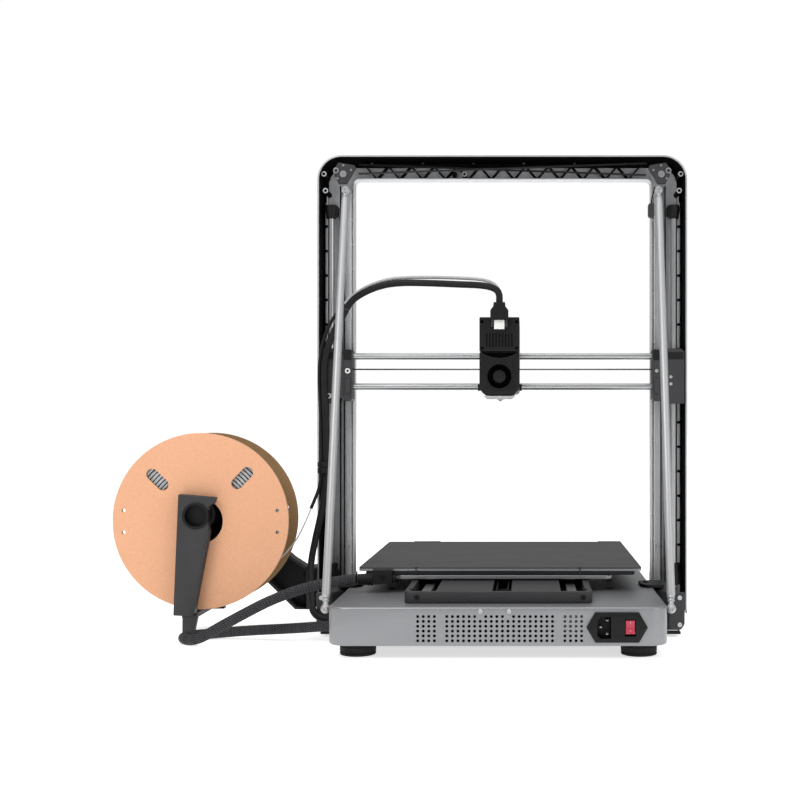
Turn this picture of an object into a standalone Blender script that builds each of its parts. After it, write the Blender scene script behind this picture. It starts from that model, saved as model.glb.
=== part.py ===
"""A large FDM printer: base box, cast portal frame, moving beam and head, sliding bed and side spool.

The user's side is -Y and the mains side is +Y. Dimensions below are in millimetres, measured from
the middle of the frame on the surface that the printer stands on. MM turns them into metres, and the
parent empty moves the whole printer so that its origin is under the middle of its bounding box.
"""
import math

import bmesh
import bpy
from mathutils import Matrix, Vector

MM = 0.001
GAP = 0.3                                   # clearance between pieces that touch
ORIGIN_SHIFT = (-109.0, 28.7, 0.0)          # from the frame's middle to the middle of the box

# Base
BASE_HALF_WIDTH, BASE_HALF_DEPTH = 174.0, 215.0
BASE_BOTTOM, BASE_TOP = 14.0, 53.6
BASE_CORNER, BASE_WALL = 20.0, 3.0
FOOT_RADIUS, FOOT_X, FOOT_Y = 18.8, 146.5, 180.0
INLET_X, INLET_Z = -121.3, 33.4
SOCKET_X, ROCKER_X, SWITCH_Z = -108.1, -134.7, 33.0
ROCKER_AXIS_Y, ROCKER_TILT = 212.5, 8.0
BACK = BASE_HALF_DEPTH

# Deck and bed
HOUSING_HALF_WIDTH, HOUSING_FRONT, HOUSING_BACK = 98.0, -200.0, 187.0
HOUSING_FLOOR, HOUSING_TOP = 56.0, 66.2
RAIL_X, RAIL_HALF, CHANNEL_HALF = 78.0, 5.0, 13.0
BELT_X, BELT_FRONT, BELT_BACK, PULLEY_RADIUS = -3.5, -165.0, 160.0, 5.5
BED_HALF, BED_FRONT, BED_BACK = 157.5, -221.0, 94.0
CARRIAGE_BOTTOM, CARRIAGE_TOP = 67.6, 72.0
PAD_TOP, HEATER_TOP, PLATE_TOP = 76.5, 79.2, 80.7
BLOCK_SPANS = ((-76.0, -41.0), (-31.0, 4.0))

# Portal frame, seen along Y: outer and inner outlines
FRAME_HALF, FRAME_TOP, FRAME_CORNER, FRAME_BOTTOM = 222.5, 564.0, 29.0, 13.0
OPENING_HALF, OPENING_TOP, OPENING_CORNER = 181.0, 538.6, 6.0
FRAME_WALL = 3.0
FRAME_FRONT, WEB_BACK, LIP_BACK, FRAME_BACK = -61.0, -57.0, -41.0, -21.0
BRACE_TOP, BRACE_FOOT = (187.0, -10.0, 519.6), (179.8, 185.0, 48.0)
BRACE_RADIUS = 4.4
ROD_RADIUS, Z_ROD_X, Z_ROD_Y = 4.0, 208.0, -35.0
IDLER_X, IDLER_Z, IDLER_RADIUS = 190.0, 545.0, 7.5
PULLEY_PLATE = [(197, 554.6), (177.3, 551.4), (175.2, 547.1), (181.2, 536.9), (186, 528.3),
                (196.1, 528.3), (201, 537.9), (202.1, 546)]

# Beam and head
X_ROD_Y, X_ROD_TOP, X_ROD_LOW, X_BELT_Z = -27.0, 322.0, 285.5, 306.0
BLOCK_INNER, BLOCK_OUTER, BLOCK_BOTTOM, BLOCK_TOP = 180.0, 218.3, 265.0, 331.0
HEAD_X, HEAD_HALF = 2.7, 23.5
HEAD_BACK, HEAD_SPLIT, HEAD_FRONT = 15.0, -7.7, -76.0
HEAD_BOTTOM, SHELL_TOP, HEAD_TOP = 274.0, 325.0, 366.0
FAN_Z, FAN_RADIUS = 296.3, 14.2

# Spool and its holder
SPOOL_X, SPOOL_Z, SPOOL_RADIUS, SPOOL_BORE = 340.5, 130.0, 100.0, 25.3
SPOOL_FAR, SPOOL_NEAR, FLANGE = 4.0, 66.0, 4.5
WINDING_RADIUS, CORE_RADIUS = 85.0, 32.0
TUBE_Z, TUBE_RADIUS, TUBE_BORE = 138.0, 17.0, 12.5
UPRIGHT_FAR, UPRIGHT_NEAR = 69.5, 81.5
BRIDGE_Z = (20.5, 27.0)

# Cords: points on their middle lines, each through one smooth curve
BED_CABLE_DIAMETER = 11.5
BED_CABLE = [(159.2, 100, 68), (166, 100, 67.9), (179, 102, 66.4), (194, 106.5, 64), (210, 112.5, 61),
             (226, 118.5, 56.6), (242, 124, 51), (257, 129, 44.6), (272, 133, 37), (286, 136, 29.6),
             (299, 137.8, 22.5), (311, 138, 15.5), (322, 136.5, 9.8), (332, 132, 6.6), (341, 125, 5.9),
             (346.5, 114.5, 5.9), (344, 103, 5.9), (336, 94.5, 5.9), (324, 89.8, 6.3), (308, 88.8, 7.6),
             (290, 90, 9.2), (268, 93, 11), (243, 97, 12.8), (220, 101.5, 14.8), (199, 105.5, 16.8),
             (185, 107, 17.8), (174.5, 107, 18)]
HEAD_CABLE_DIAMETER = 8.0
HEAD_CABLE_UPPER = [(2.6, 20, 383.1), (2.8, 20, 391.5), (6.2, 19.2, 397.4), (14.5, 17.5, 401.2),
                    (28, 15.8, 403.3), (49.3, 14, 404.4), (72, 12, 405.6), (96.7, 10, 406.6),
                    (115, 8.5, 406.8), (132.4, 7, 405.5), (146, 5, 402.6), (156.5, 3, 399),
                    (166, 1.5, 394.6), (174.7, 0, 389.2), (180.2, -1, 383.7), (184.5, -2, 377.3)]
HEAD_CABLE_LOWER = [(185, -2.1, 376.4), (190.2, -3, 367), (196, -4, 357.5), (202.2, -5, 345),
                    (208, -5.6, 329), (211.2, -6, 311), (211.6, -6, 290), (210, -6, 250),
                    (209, -6, 215), (208.8, -6, 182), (211.8, -5, 152), (216.8, -3, 126),
                    (221.6, 2, 101), (224, 12, 78.5), (221, 33, 57.5), (214.5, 60, 38), (211, 77, 30.5),
                    (204, 87.5, 25.5), (194, 91.7, 22.8), (183, 92.2, 22), (174.6, 92.2, 22)]
TUBE_DIAMETER = 4.0
FEED_TUBE_UPPER = [(1, 0, 366.4), (0.7, 1, 378), (1, 2, 390), (4, 3, 400), (11, 4, 407),
                   (22, 5, 410.6), (37.5, 5, 412.2), (60, 4, 413.3), (84.6, 3, 413.9),
                   (106, 2, 413.9), (126, 1, 412.9), (138, -0.5, 411), (149.5, -2, 407.8),
                   (160, -3.5, 403.6), (170, -4.5, 398.2), (179.5, -5, 391), (187, -5.5, 383.5)]
FEED_TUBE_LOWER = [(187.3, -5.5, 383.2), (194, -6, 375.4), (202.6, -7, 364), (209.8, -7.5, 349),
                   (215, -8, 331), (217.6, -8, 312), (218, -8, 290), (216.4, -8, 252),
                   (215.4, -8, 216), (215.4, -8, 184), (218, -7, 165), (222.8, -4, 150.5),
                   (226.8, -1, 140)]
FILAMENT_DIAMETER = 1.75
FILAMENT = [(270.5, 30, 78), (264, 29, 79.8), (257, 26.5, 84.5), (250, 22.5, 92), (243, 16.5, 101.5),
            (237, 10, 113), (231.5, 4, 126.5), (228.5, 1, 134.5), (227, -0.8, 139.6)]

STEEL = ((0.72, 0.73, 0.74), 0.25, 1.0)
ALUMINIUM = ((0.42, 0.43, 0.45), 0.42, 0.9)
CAST_GREY = ((0.16, 0.17, 0.18), 0.5, 0.6)
BLACK = ((0.02, 0.02, 0.022), 0.5, 0.0)
DARK_GREY = ((0.06, 0.06, 0.065), 0.55, 0.0)
RUBBER = ((0.015, 0.015, 0.016), 0.85, 0.0)
WHITE = ((0.85, 0.85, 0.83), 0.45, 0.0)
CARDBOARD = ((0.72, 0.42, 0.22), 0.8, 0.0)
RED = ((0.55, 0.03, 0.03), 0.4, 0.0)
SIDES = (("right", 1), ("left", -1))


# --- building blocks ---------------------------------------------------------------------------

def start_scene():
    for obj in list(bpy.data.objects):
        bpy.data.objects.remove(obj, do_unlink=True)
    made = []
    for name in ("fdm_printer", "cutters"):
        group = bpy.data.collections.new(name)
        bpy.context.scene.collection.children.link(group)
        made.append(group)
    printer = bpy.data.objects.new("fdm_printer", None)
    printer.location = Vector(ORIGIN_SHIFT) * MM
    made[0].objects.link(printer)
    return made[0], made[1], printer


PARTS, CUTTERS, PRINTER = start_scene()


def add_part(name, mesh, location=(0, 0, 0), finish=None):
    """Put a mesh in the printer's frame; with no finish it is a working shape for a cut or union."""
    obj = bpy.data.objects.new(name, mesh)
    obj.location = Vector(location) * MM
    (PARTS if finish else CUTTERS).objects.link(obj)
    obj.parent = PRINTER
    if finish:
        colour, roughness, metallic = finish
        material = bpy.data.materials.new(name + "_finish")
        material.use_nodes = True
        shader = material.node_tree.nodes["Principled BSDF"]
        shader.inputs["Base Color"].default_value = (*colour, 1)
        shader.inputs["Roughness"].default_value = roughness
        shader.inputs["Metallic"].default_value = metallic
        mesh.materials.append(material)
    else:
        obj.hide_render = True
        obj.display_type = "WIRE"
    return obj


def bevel(obj, width, segments=2, angle=50):
    modifier = obj.modifiers.new("bevel", "BEVEL")
    modifier.width = width * MM
    modifier.segments = segments
    modifier.limit_method = "ANGLE"
    modifier.angle_limit = math.radians(angle)
    return obj


def combine(body, operation, *tools):
    for tool in tools:
        modifier = body.modifiers.new(tool.name, "BOOLEAN")
        modifier.operation = operation
        modifier.object = tool
    return body


def cut(body, *tools):
    return combine(body, "DIFFERENCE", *tools)


def unite(body, *tools):
    return combine(body, "UNION", *tools)


def box(name, x, y, z, finish=None):
    """A block between the given low and high values."""
    mesh = bpy.data.meshes.new(name)
    spans = [sorted(span) for span in (x, y, z)]
    bm = bmesh.new()
    bmesh.ops.create_cube(bm, size=1)
    size = Vector([high - low for low, high in spans]) * MM
    bmesh.ops.scale(bm, vec=size, verts=bm.verts)
    bm.to_mesh(mesh)
    bm.free()
    return add_part(name, mesh, [(low + high) / 2 for low, high in spans], finish)


def cylinder(name, start, end, radius, finish=None, sides=20):
    """A straight round bar between two points."""
    start, end = Vector(start), Vector(end)
    mesh = bpy.data.meshes.new(name)
    bm = bmesh.new()
    bmesh.ops.create_cone(bm, cap_ends=True, segments=sides, radius1=radius * MM, radius2=radius * MM,
                          depth=(end - start).length * MM)
    turn = Vector((0, 0, 1)).rotation_difference(end - start).to_matrix().to_4x4()
    bmesh.ops.transform(bm, matrix=turn, verts=bm.verts)
    bm.to_mesh(mesh)
    bm.free()
    mesh.shade_smooth()
    mesh.set_sharp_from_angle(angle=math.radians(40))
    return add_part(name, mesh, (start + end) / 2, finish)


PLANES = {"XY": (0, 0, 0), "XZ": (math.pi / 2, 0, 0), "YZ": (math.pi / 2, 0, math.pi / 2)}


def slab(name, plane, outline, span, finish=None, hole=None):
    """A flat outline in one plane, made thick between two values along the third axis."""
    curve = bpy.data.curves.new(name, "CURVE")
    curve.dimensions = "2D"
    curve.fill_mode = "BOTH"
    curve.extrude = abs(span[1] - span[0]) / 2 * MM
    for points in (outline, hole):
        if points:
            spline = curve.splines.new("POLY")
            spline.points.add(len(points) - 1)
            for point, (u, v) in zip(spline.points, points):
                point.co = (u * MM, v * MM, 0, 1)
            spline.use_cyclic_u = True
    flat = bpy.data.objects.new(name + "_outline", curve)
    CUTTERS.objects.link(flat)
    bpy.context.view_layer.update()
    mesh = bpy.data.meshes.new_from_object(flat.evaluated_get(bpy.context.evaluated_depsgraph_get()))
    bpy.data.objects.remove(flat)
    bm = bmesh.new()
    bm.from_mesh(mesh)
    bmesh.ops.remove_doubles(bm, verts=bm.verts, dist=0.00001)
    bmesh.ops.dissolve_limit(bm, angle_limit=0.01, verts=bm.verts, edges=bm.edges)
    bm.to_mesh(mesh)
    bm.free()
    mesh.name = name
    middle = sum(span) / 2
    location = {"XY": (0, 0, middle), "XZ": (0, middle, 0), "YZ": (middle, 0, 0)}[plane]
    obj = add_part(name, mesh, location, finish)
    obj.rotation_euler = PLANES[plane]
    return obj


def arc(centre, radius, start, end, steps):
    """Points on an arc, its angles in degrees."""
    angles = [math.radians(start + (end - start) * i / steps) for i in range(steps + 1)]
    return [(centre[0] + radius * math.cos(a), centre[1] + radius * math.sin(a)) for a in angles]


def rounded(x, y, radius, steps=6):
    """A rectangle with round corners, as an outline that turns left."""
    corners = ((x[1], y[0], -1, 1, -90), (x[1], y[1], -1, -1, 0),
               (x[0], y[1], 1, -1, 90), (x[0], y[0], 1, 1, 180))
    points = []
    for cx, cy, sx, sy, start in corners:
        points += arc((cx + sx * radius, cy + sy * radius), radius, start, start + 90, steps)
    return points


def circle(centre, radius, steps=24):
    return arc(centre, radius, 0, 360, steps)[:-1]


def turned(name, profile, location, finish=None, axis=(0, 0, 1), steps=32, closed=False):
    """A profile of (radius, height) spun about its axis; a ring's profile closes on itself."""
    mesh = bpy.data.meshes.new(name)
    bm = bmesh.new()
    points = [bm.verts.new((r * MM, 0, h * MM)) for r, h in profile]
    for first, second in zip(points, points[1:] + (points[:1] if closed else [])):
        bm.edges.new((first, second))
    bm.to_mesh(mesh)
    bm.free()
    obj = add_part(name, mesh, location, finish)
    obj.rotation_euler = Vector((0, 0, 1)).rotation_difference(Vector(axis)).to_euler()
    screw = obj.modifiers.new("turn", "SCREW")
    screw.steps = screw.render_steps = steps
    screw.use_merge_vertices = True
    screw.merge_threshold = 0.00001
    screw.use_smooth_shade = True
    return obj


def smooth_route(points, spacing):
    """Evenly spaced points on a Catmull-Rom curve through the given ones."""
    points = [Vector(p) for p in points]
    ends = [points[0] * 2 - points[1]] + points + [points[-1] * 2 - points[-2]]
    fine = []
    for a, b, c, d in zip(ends, ends[1:], ends[2:], ends[3:]):
        for i in range(20):
            t = i / 20
            fine.append(0.5 * (2 * b + (c - a) * t + (2 * a - 5 * b + 4 * c - d) * t ** 2
                               + (3 * b - a - 3 * c + d) * t ** 3))
    fine.append(points[-1])
    lengths = [0.0]
    for first, second in zip(fine, fine[1:]):
        lengths.append(lengths[-1] + (second - first).length)
    count = max(2, round(lengths[-1] / spacing))
    even, k = [], 0
    for i in range(count + 1):
        target = lengths[-1] * i / count
        while k < len(fine) - 2 and lengths[k + 1] < target:
            k += 1
        part = (target - lengths[k]) / max(lengths[k + 1] - lengths[k], 1e-9)
        even.append(fine[k].lerp(fine[k + 1], part))
    return even


def cord(name, route, diameter, finish, spacing, resolution=2):
    """A round cord along a route, closed at both ends."""
    curve = bpy.data.curves.new(name, "CURVE")
    curve.dimensions = "3D"
    curve.bevel_depth = diameter / 2 * MM
    curve.bevel_resolution = resolution
    curve.use_fill_caps = True
    points = smooth_route(route, spacing)
    spline = curve.splines.new("POLY")
    spline.points.add(len(points) - 1)
    for point, place in zip(spline.points, points):
        point.co = (*(place * MM), 1)
    return add_part(name, curve, finish=finish)


def mirrored(outline, side):
    """An outline on the other side of X = 0, still turning the same way."""
    points = [(side * u, v) for u, v in outline]
    return points if side > 0 else points[::-1]


def span(side, low, high):
    return sorted((side * low, side * high))


# --- base --------------------------------------------------------------------------------------

def make_base():
    shell = slab("base_shell", "XY", rounded((-BASE_HALF_WIDTH, BASE_HALF_WIDTH), (-BACK, BACK),
                                             BASE_CORNER, 8), (BASE_BOTTOM, BASE_TOP), ALUMINIUM)
    bevel(shell, 2.0, 2)
    inside_x, inside_y = BASE_HALF_WIDTH - BASE_WALL, BACK - BASE_WALL
    cavity = slab("base_cavity", "XY", rounded((-inside_x, inside_x), (-inside_y, inside_y), 17),
                  (BASE_BOTTOM - 5, BASE_TOP - BASE_WALL))
    window = box("inlet_window", (INLET_X - 26, INLET_X + 26), (BACK - 8, BACK + 5),
                 (INLET_Z - 12.5, INLET_Z + 12.5))
    shaft_hole = cylinder("deck_shaft_hole", (BELT_X, BELT_FRONT, 40), (BELT_X, BELT_FRONT, 62), 4)
    cut(shell, cavity, window, shaft_hole)

    inside_x, inside_y = inside_x - 0.5, inside_y - 0.5
    cover = slab("base_bottom_cover", "XY", rounded((-inside_x, inside_x), (-inside_y, inside_y), 16),
                 (BASE_BOTTOM, BASE_BOTTOM + 2), DARK_GREY)
    unite(cover, box("belly_box", (-19, 25), (60, 150), (5, BASE_BOTTOM + 1)))

    foot = [(0, BASE_BOTTOM - GAP), (FOOT_RADIUS - 1, BASE_BOTTOM - GAP), (FOOT_RADIUS, 12.5),
            (FOOT_RADIUS, 1.5), (FOOT_RADIUS - 1.5, 0), (0, 0)]
    for end, y in (("back", FOOT_Y), ("front", -FOOT_Y)):
        for side, sign in SIDES:
            turned(f"foot_{end}_{side}", foot, (sign * FOOT_X, y, 0), RUBBER, steps=24)


def make_power_inlet():
    """Hexagonal flange with a three-pin socket and a rocker's pocket, and the box behind it."""
    half, flat, height = 31.2, 22.2, 15.35
    outline = [(-half, 0), (-flat, -height), (flat, -height), (half, 0), (flat, height), (-flat, height)]
    inlet = slab("power_inlet", "XZ", [(INLET_X + u, INLET_Z + v) for u, v in outline],
                 (BACK + GAP, BACK + 3), BLACK)
    body = box("inlet_body", (INLET_X - 25.5, INLET_X + 25.5), (BACK - 26, BACK + 1),
               (INLET_Z - 12, INLET_Z + 12))
    socket = slab("socket_cut", "XZ", [(SOCKET_X - 6.9, 22), (SOCKET_X + 4, 22), (SOCKET_X + 6.9, 25),
                                       (SOCKET_X + 6.9, 41), (SOCKET_X + 4, 44), (SOCKET_X - 6.9, 44)],
                  (BACK - 13, BACK + 6))
    pocket = box("rocker_pocket", (ROCKER_X - 5.6, ROCKER_X + 5.6), (BACK - 10, BACK + 6),
                 (SWITCH_Z - 8.6, SWITCH_Z + 8.6))
    unite(inlet, body)
    cut(inlet, socket, pocket)
    for index, (x, z) in enumerate(((3.2, 0), (-3.4, 7), (-3.4, -7))):
        unite(inlet, box(f"pin_{index}", (SOCKET_X + x - 1, SOCKET_X + x + 1), (BACK - 14, BACK - 2.5),
                         (SWITCH_Z + z - 2, SWITCH_Z + z + 2)))
    tilt = Matrix.Rotation(math.radians(ROCKER_TILT), 2)
    profile = [(-4, -4.5), (5.2, -7.1), (3.8, 0), (5.2, 7.1), (-4, 4.5)]
    rocker = slab("rocker_switch", "YZ", [tuple(tilt @ Vector(p)) for p in profile],
                  (ROCKER_X - 4.8, ROCKER_X + 4.8), RED)
    rocker.location = Vector((ROCKER_X, ROCKER_AXIS_Y, SWITCH_Z)) * MM


def make_electronics():
    box("power_supply", (-160, -60), (40, 180), (BASE_BOTTOM + 2.4, 48), ALUMINIUM)
    board = box("mainboard", (20, 150), (0, 110), (18.5, 20.5), ((0.02, 0.12, 0.06), 0.5, 0.0))
    unite(board, box("board_heat_sink", (60, 100), (30, 80), (20, 34)))
    bevel(box("y_motor", (BELT_X - 17.5, BELT_X + 17.5), (BELT_FRONT - 17.5, BELT_FRONT + 17.5),
              (BASE_BOTTOM + 2.4, 50.2), BLACK), 2)


# --- deck and bed ------------------------------------------------------------------------------

def make_deck():
    housing = slab("rail_housing", "XY", rounded((-HOUSING_HALF_WIDTH, HOUSING_HALF_WIDTH),
                                                 (HOUSING_FRONT, HOUSING_BACK), 8),
                   (BASE_TOP + GAP, HOUSING_TOP), DARK_GREY)
    bevel(housing, 1.0, 2)
    inner = (HOUSING_FRONT + 2, HOUSING_BACK - 3)
    above = (HOUSING_FLOOR, HOUSING_TOP + 5)
    cut(housing, box("belt_trench", (BELT_X - 10, BELT_X + 10), (inner[0] + 8, inner[1]), above),
        cylinder("housing_shaft_hole", (BELT_X, BELT_FRONT, 50), (BELT_X, BELT_FRONT, 60), 4))
    for side, sign in SIDES:
        middle = sign * RAIL_X
        cut(housing, box(f"channel_{side}", (middle - CHANNEL_HALF, middle + CHANNEL_HALF), inner, above))
        rail = box(f"y_rail_{side}", (middle - RAIL_HALF, middle + RAIL_HALF),
                   (inner[0] + 0.5, inner[1] - 0.5), (HOUSING_FLOOR + GAP, HOUSING_FLOOR + 5.3), STEEL)
        bevel(rail, 0.6, 1)

    def stadium(radius):
        return (arc((BELT_X, BELT_BACK), radius, 0, 180, 10)
                + arc((BELT_X, BELT_FRONT), radius, 180, 360, 10))

    slab("y_belt", "XY", stadium(PULLEY_RADIUS + 1.5), (58.5, 64.5), RUBBER,
         hole=stadium(PULLEY_RADIUS + GAP))
    turned("y_pulley", [(0, 64.4), (PULLEY_RADIUS, 64.4), (PULLEY_RADIUS, 57.5), (2.5, 57.5), (2.5, 50.7),
                        (0, 50.7)], (BELT_X, BELT_FRONT, 0), STEEL, steps=20)


def make_bed():
    carriage = slab("bed_carriage", "XY", rounded((-125, 118), (BED_FRONT + 8, BED_BACK), 10, 4),
                    (CARRIAGE_BOTTOM, CARRIAGE_TOP), ALUMINIUM)
    unite(carriage, box("belt_clamp", (BELT_X + 4, BELT_X + 10), (-45, -25), (64.8, CARRIAGE_BOTTOM + 1)))
    for side, sign in SIDES:
        middle = sign * RAIL_X
        for index, ends in enumerate(BLOCK_SPANS):
            unite(carriage, box(f"bearing_{side}_{index}", (middle - 10.5, middle + 10.5), ends,
                                (57, CARRIAGE_BOTTOM + 1)))
        cut(carriage, box(f"rail_slot_{side}", (middle - RAIL_HALF - 0.4, middle + RAIL_HALF + 0.4),
                          (-90, 20), (50, HOUSING_FLOOR + 5.8)))
    square = (-BED_HALF, BED_HALF)
    plan = rounded(square, (BED_FRONT, BED_BACK), 6, 4)
    pad_plan = rounded((-150, 150), (BED_FRONT + 6, BED_BACK - 0.5), 6, 4)
    heater = slab("heater_bed", "XY", plan, (PAD_TOP, HEATER_TOP), ALUMINIUM)
    unite(heater, slab("insulation_pad", "XY", pad_plan, (CARRIAGE_TOP + GAP, PAD_TOP + 1)))
    slab("build_plate", "XY", plan, (HEATER_TOP + GAP, PLATE_TOP), DARK_GREY)
    relief = slab("bed_strain_relief", "XZ", [(118.9, 64), (141, 62.5), (158.6, 62.2), (158.6, 73.8),
                                              (141, 79), (118.9, 79)], (BED_BACK + GAP, 106), BLACK)
    bevel(relief, 1.5, 2)


# --- portal frame ------------------------------------------------------------------------------

def portal(half, top, radius, bottom, steps=8):
    """The path up one leg, over the beam and down the other."""
    return ([(half, bottom)] + arc((half - radius, top - radius), radius, 0, 90, steps)
            + arc((radius - half, top - radius), radius, 90, 180, steps) + [(-half, bottom)])


def make_frame():
    opening = portal(OPENING_HALF, OPENING_TOP, OPENING_CORNER, FRAME_BOTTOM, 4)
    frame = slab("gantry_frame", "XZ", portal(FRAME_HALF, FRAME_TOP, FRAME_CORNER, FRAME_BOTTOM)
                 + opening[::-1], (FRAME_FRONT, FRAME_BACK), CAST_GREY)
    floor = FRAME_BOTTOM + FRAME_WALL
    channel = slab("frame_channel", "XZ", portal(FRAME_HALF - FRAME_WALL, FRAME_TOP - FRAME_WALL,
                                                 FRAME_CORNER - FRAME_WALL, floor)
                   + portal(OPENING_HALF + FRAME_WALL, OPENING_TOP + FRAME_WALL,
                            OPENING_CORNER + FRAME_WALL, floor, 4)[::-1], (WEB_BACK, FRAME_BACK + 9))
    lip = slab("frame_lip_trim", "XZ", portal(OPENING_HALF + FRAME_WALL + 1, OPENING_TOP + FRAME_WALL + 1,
                                              OPENING_CORNER + FRAME_WALL + 1, 0, 4),
               (LIP_BACK, FRAME_BACK + 9))
    cut(frame, channel, lip)

    for side, sign in SIDES:
        bracket = [(174.3, -20.7), (207.3, -20.7), (207.3, 75), (189, 75), (174.3, 45)]
        bevel(slab(f"foot_bracket_{side}", "XY", mirrored(bracket, sign), (8.5, 51), BLACK), 2)
        make_brace(side, sign)
        cylinder(f"z_rod_{side}", (sign * Z_ROD_X, Z_ROD_Y, 47), (sign * Z_ROD_X, Z_ROD_Y, 505),
                 ROD_RADIUS, STEEL)
        for end, low, high in (("top", 489.5, 506), ("foot", 46, 72)):
            unite(frame, box(f"rod_boss_{end}_{side}", span(sign, 200.6, 216), (WEB_BACK - 2, -25),
                             (low, high)))
        cut(frame, cylinder(f"rod_bore_{side}", (sign * Z_ROD_X, Z_ROD_Y, 40),
                            (sign * Z_ROD_X, Z_ROD_Y, 512), ROD_RADIUS + GAP))
        plate = slab(f"pulley_plate_{side}", "XZ", mirrored(PULLEY_PLATE[::-1], sign),
                     (FRAME_BACK + GAP, -17), DARK_GREY)
        bevel(plate, 0.8, 1)
        rim = IDLER_RADIUS + 1.5
        groove = [(0, 7), (rim, 7), (rim, 5.8), (IDLER_RADIUS, 5), (IDLER_RADIUS, -5), (rim, -5.8), (rim, -7),
                  (0, -7)]
        turned(f"top_idler_{side}", groove, (sign * IDLER_X, -31, IDLER_Z), STEEL, axis=(0, 1, 0), steps=24)
        bevel(box(f"xz_motor_{side}", span(sign, 184, 219), (-96, FRAME_FRONT - GAP), (22, 57), BLACK), 3)
        thick = 0.7
        low, high = 542.5, 555.0
        belt = [(-174, high - thick), (174, low - thick), (174, low + thick), (-174, high + thick)]
        depth = -27 if sign > 0 else -35
        slab(f"top_belt_{side}", "XZ", mirrored(belt, sign), (depth - 3, depth + 3), RUBBER)


def make_brace(side, sign):
    """A tube with a ball on a thin neck at each end."""
    foot, top = (Vector((sign * x, y, z)) for x, y, z in (BRACE_FOOT, BRACE_TOP))
    length = (top - foot).length
    ball, neck, neck_length = 5.0, 2.8, 14.0
    upper = [(r, length + h) for r, h in arc((0, 0), ball, 90, -50, 6)]
    lower = arc((0, 0), ball, 50, -90, 6)
    profile = ([(0, upper[0][1])] + upper[1:]
               + [(neck, length - 7), (neck, length - neck_length), (BRACE_RADIUS, length - neck_length - 2),
                  (BRACE_RADIUS, neck_length + 2), (neck, neck_length), (neck, 7)]
               + lower[:-1] + [(0, -ball)])
    turned(f"brace_{side}", profile, foot, STEEL, axis=top - foot, steps=16)


def make_display():
    pod = [(-BACK - 0.4, 16), (-BACK - 0.4, 66), (-222, 66), (-276, 30), (-276, 18), (-274, 16)]
    bevel(slab("display_pod", "YZ", pod[::-1], (84, 170), BLACK), 2)
    slope = Vector((54, 36)).normalized()
    normal = Vector((-slope.y, slope.x))
    low, high = Vector((-276, 30)) + slope * 5, Vector((-222, 66)) - slope * 4
    corners = [low + normal * GAP, high + normal * GAP, high + normal * 1.6, low + normal * 1.6]
    slab("display_screen", "YZ", [tuple(c) for c in corners], (89, 165), ((0.01, 0.01, 0.012), 0.1, 0.0))


# --- beam and head -----------------------------------------------------------------------------

def make_beam():
    rods = (("upper", X_ROD_TOP), ("lower", X_ROD_LOW))
    reach = BLOCK_INNER + 9
    for side, sign in SIDES:
        block = box(f"z_carriage_{side}", span(sign, 196, BLOCK_OUTER), (-46, -14),
                    (BLOCK_BOTTOM, BLOCK_TOP), BLACK)
        unite(block, box(f"inner_block_{side}", span(sign, BLOCK_INNER, 190), (-40, -15),
                         (BLOCK_BOTTOM + 3, BLOCK_TOP - 1)),
              box(f"bridge_{side}", span(sign, 186, 200), (-26, -16), (BLOCK_BOTTOM + 6, BLOCK_TOP - 6)))
        cut(block, cylinder(f"bearing_bore_{side}", (sign * Z_ROD_X, Z_ROD_Y, BLOCK_BOTTOM - 5),
                            (sign * Z_ROD_X, Z_ROD_Y, BLOCK_TOP + 5), ROD_RADIUS + GAP))
        for name, z in rods:
            cut(block, cylinder(f"rod_socket_{name}_{side}", (sign * (BLOCK_INNER - 5), X_ROD_Y, z),
                                (sign * (reach + GAP), X_ROD_Y, z), ROD_RADIUS + GAP))
    for name, z in rods:
        cylinder(f"x_rod_{name}", (-reach, X_ROD_Y, z), (reach, X_ROD_Y, z), ROD_RADIUS, STEEL)
    end = BLOCK_INNER - GAP
    box("x_belt", (-end, end), (X_ROD_Y - 3, X_ROD_Y + 3), (X_BELT_Z - 0.8, X_BELT_Z + 0.8), RUBBER)


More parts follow.
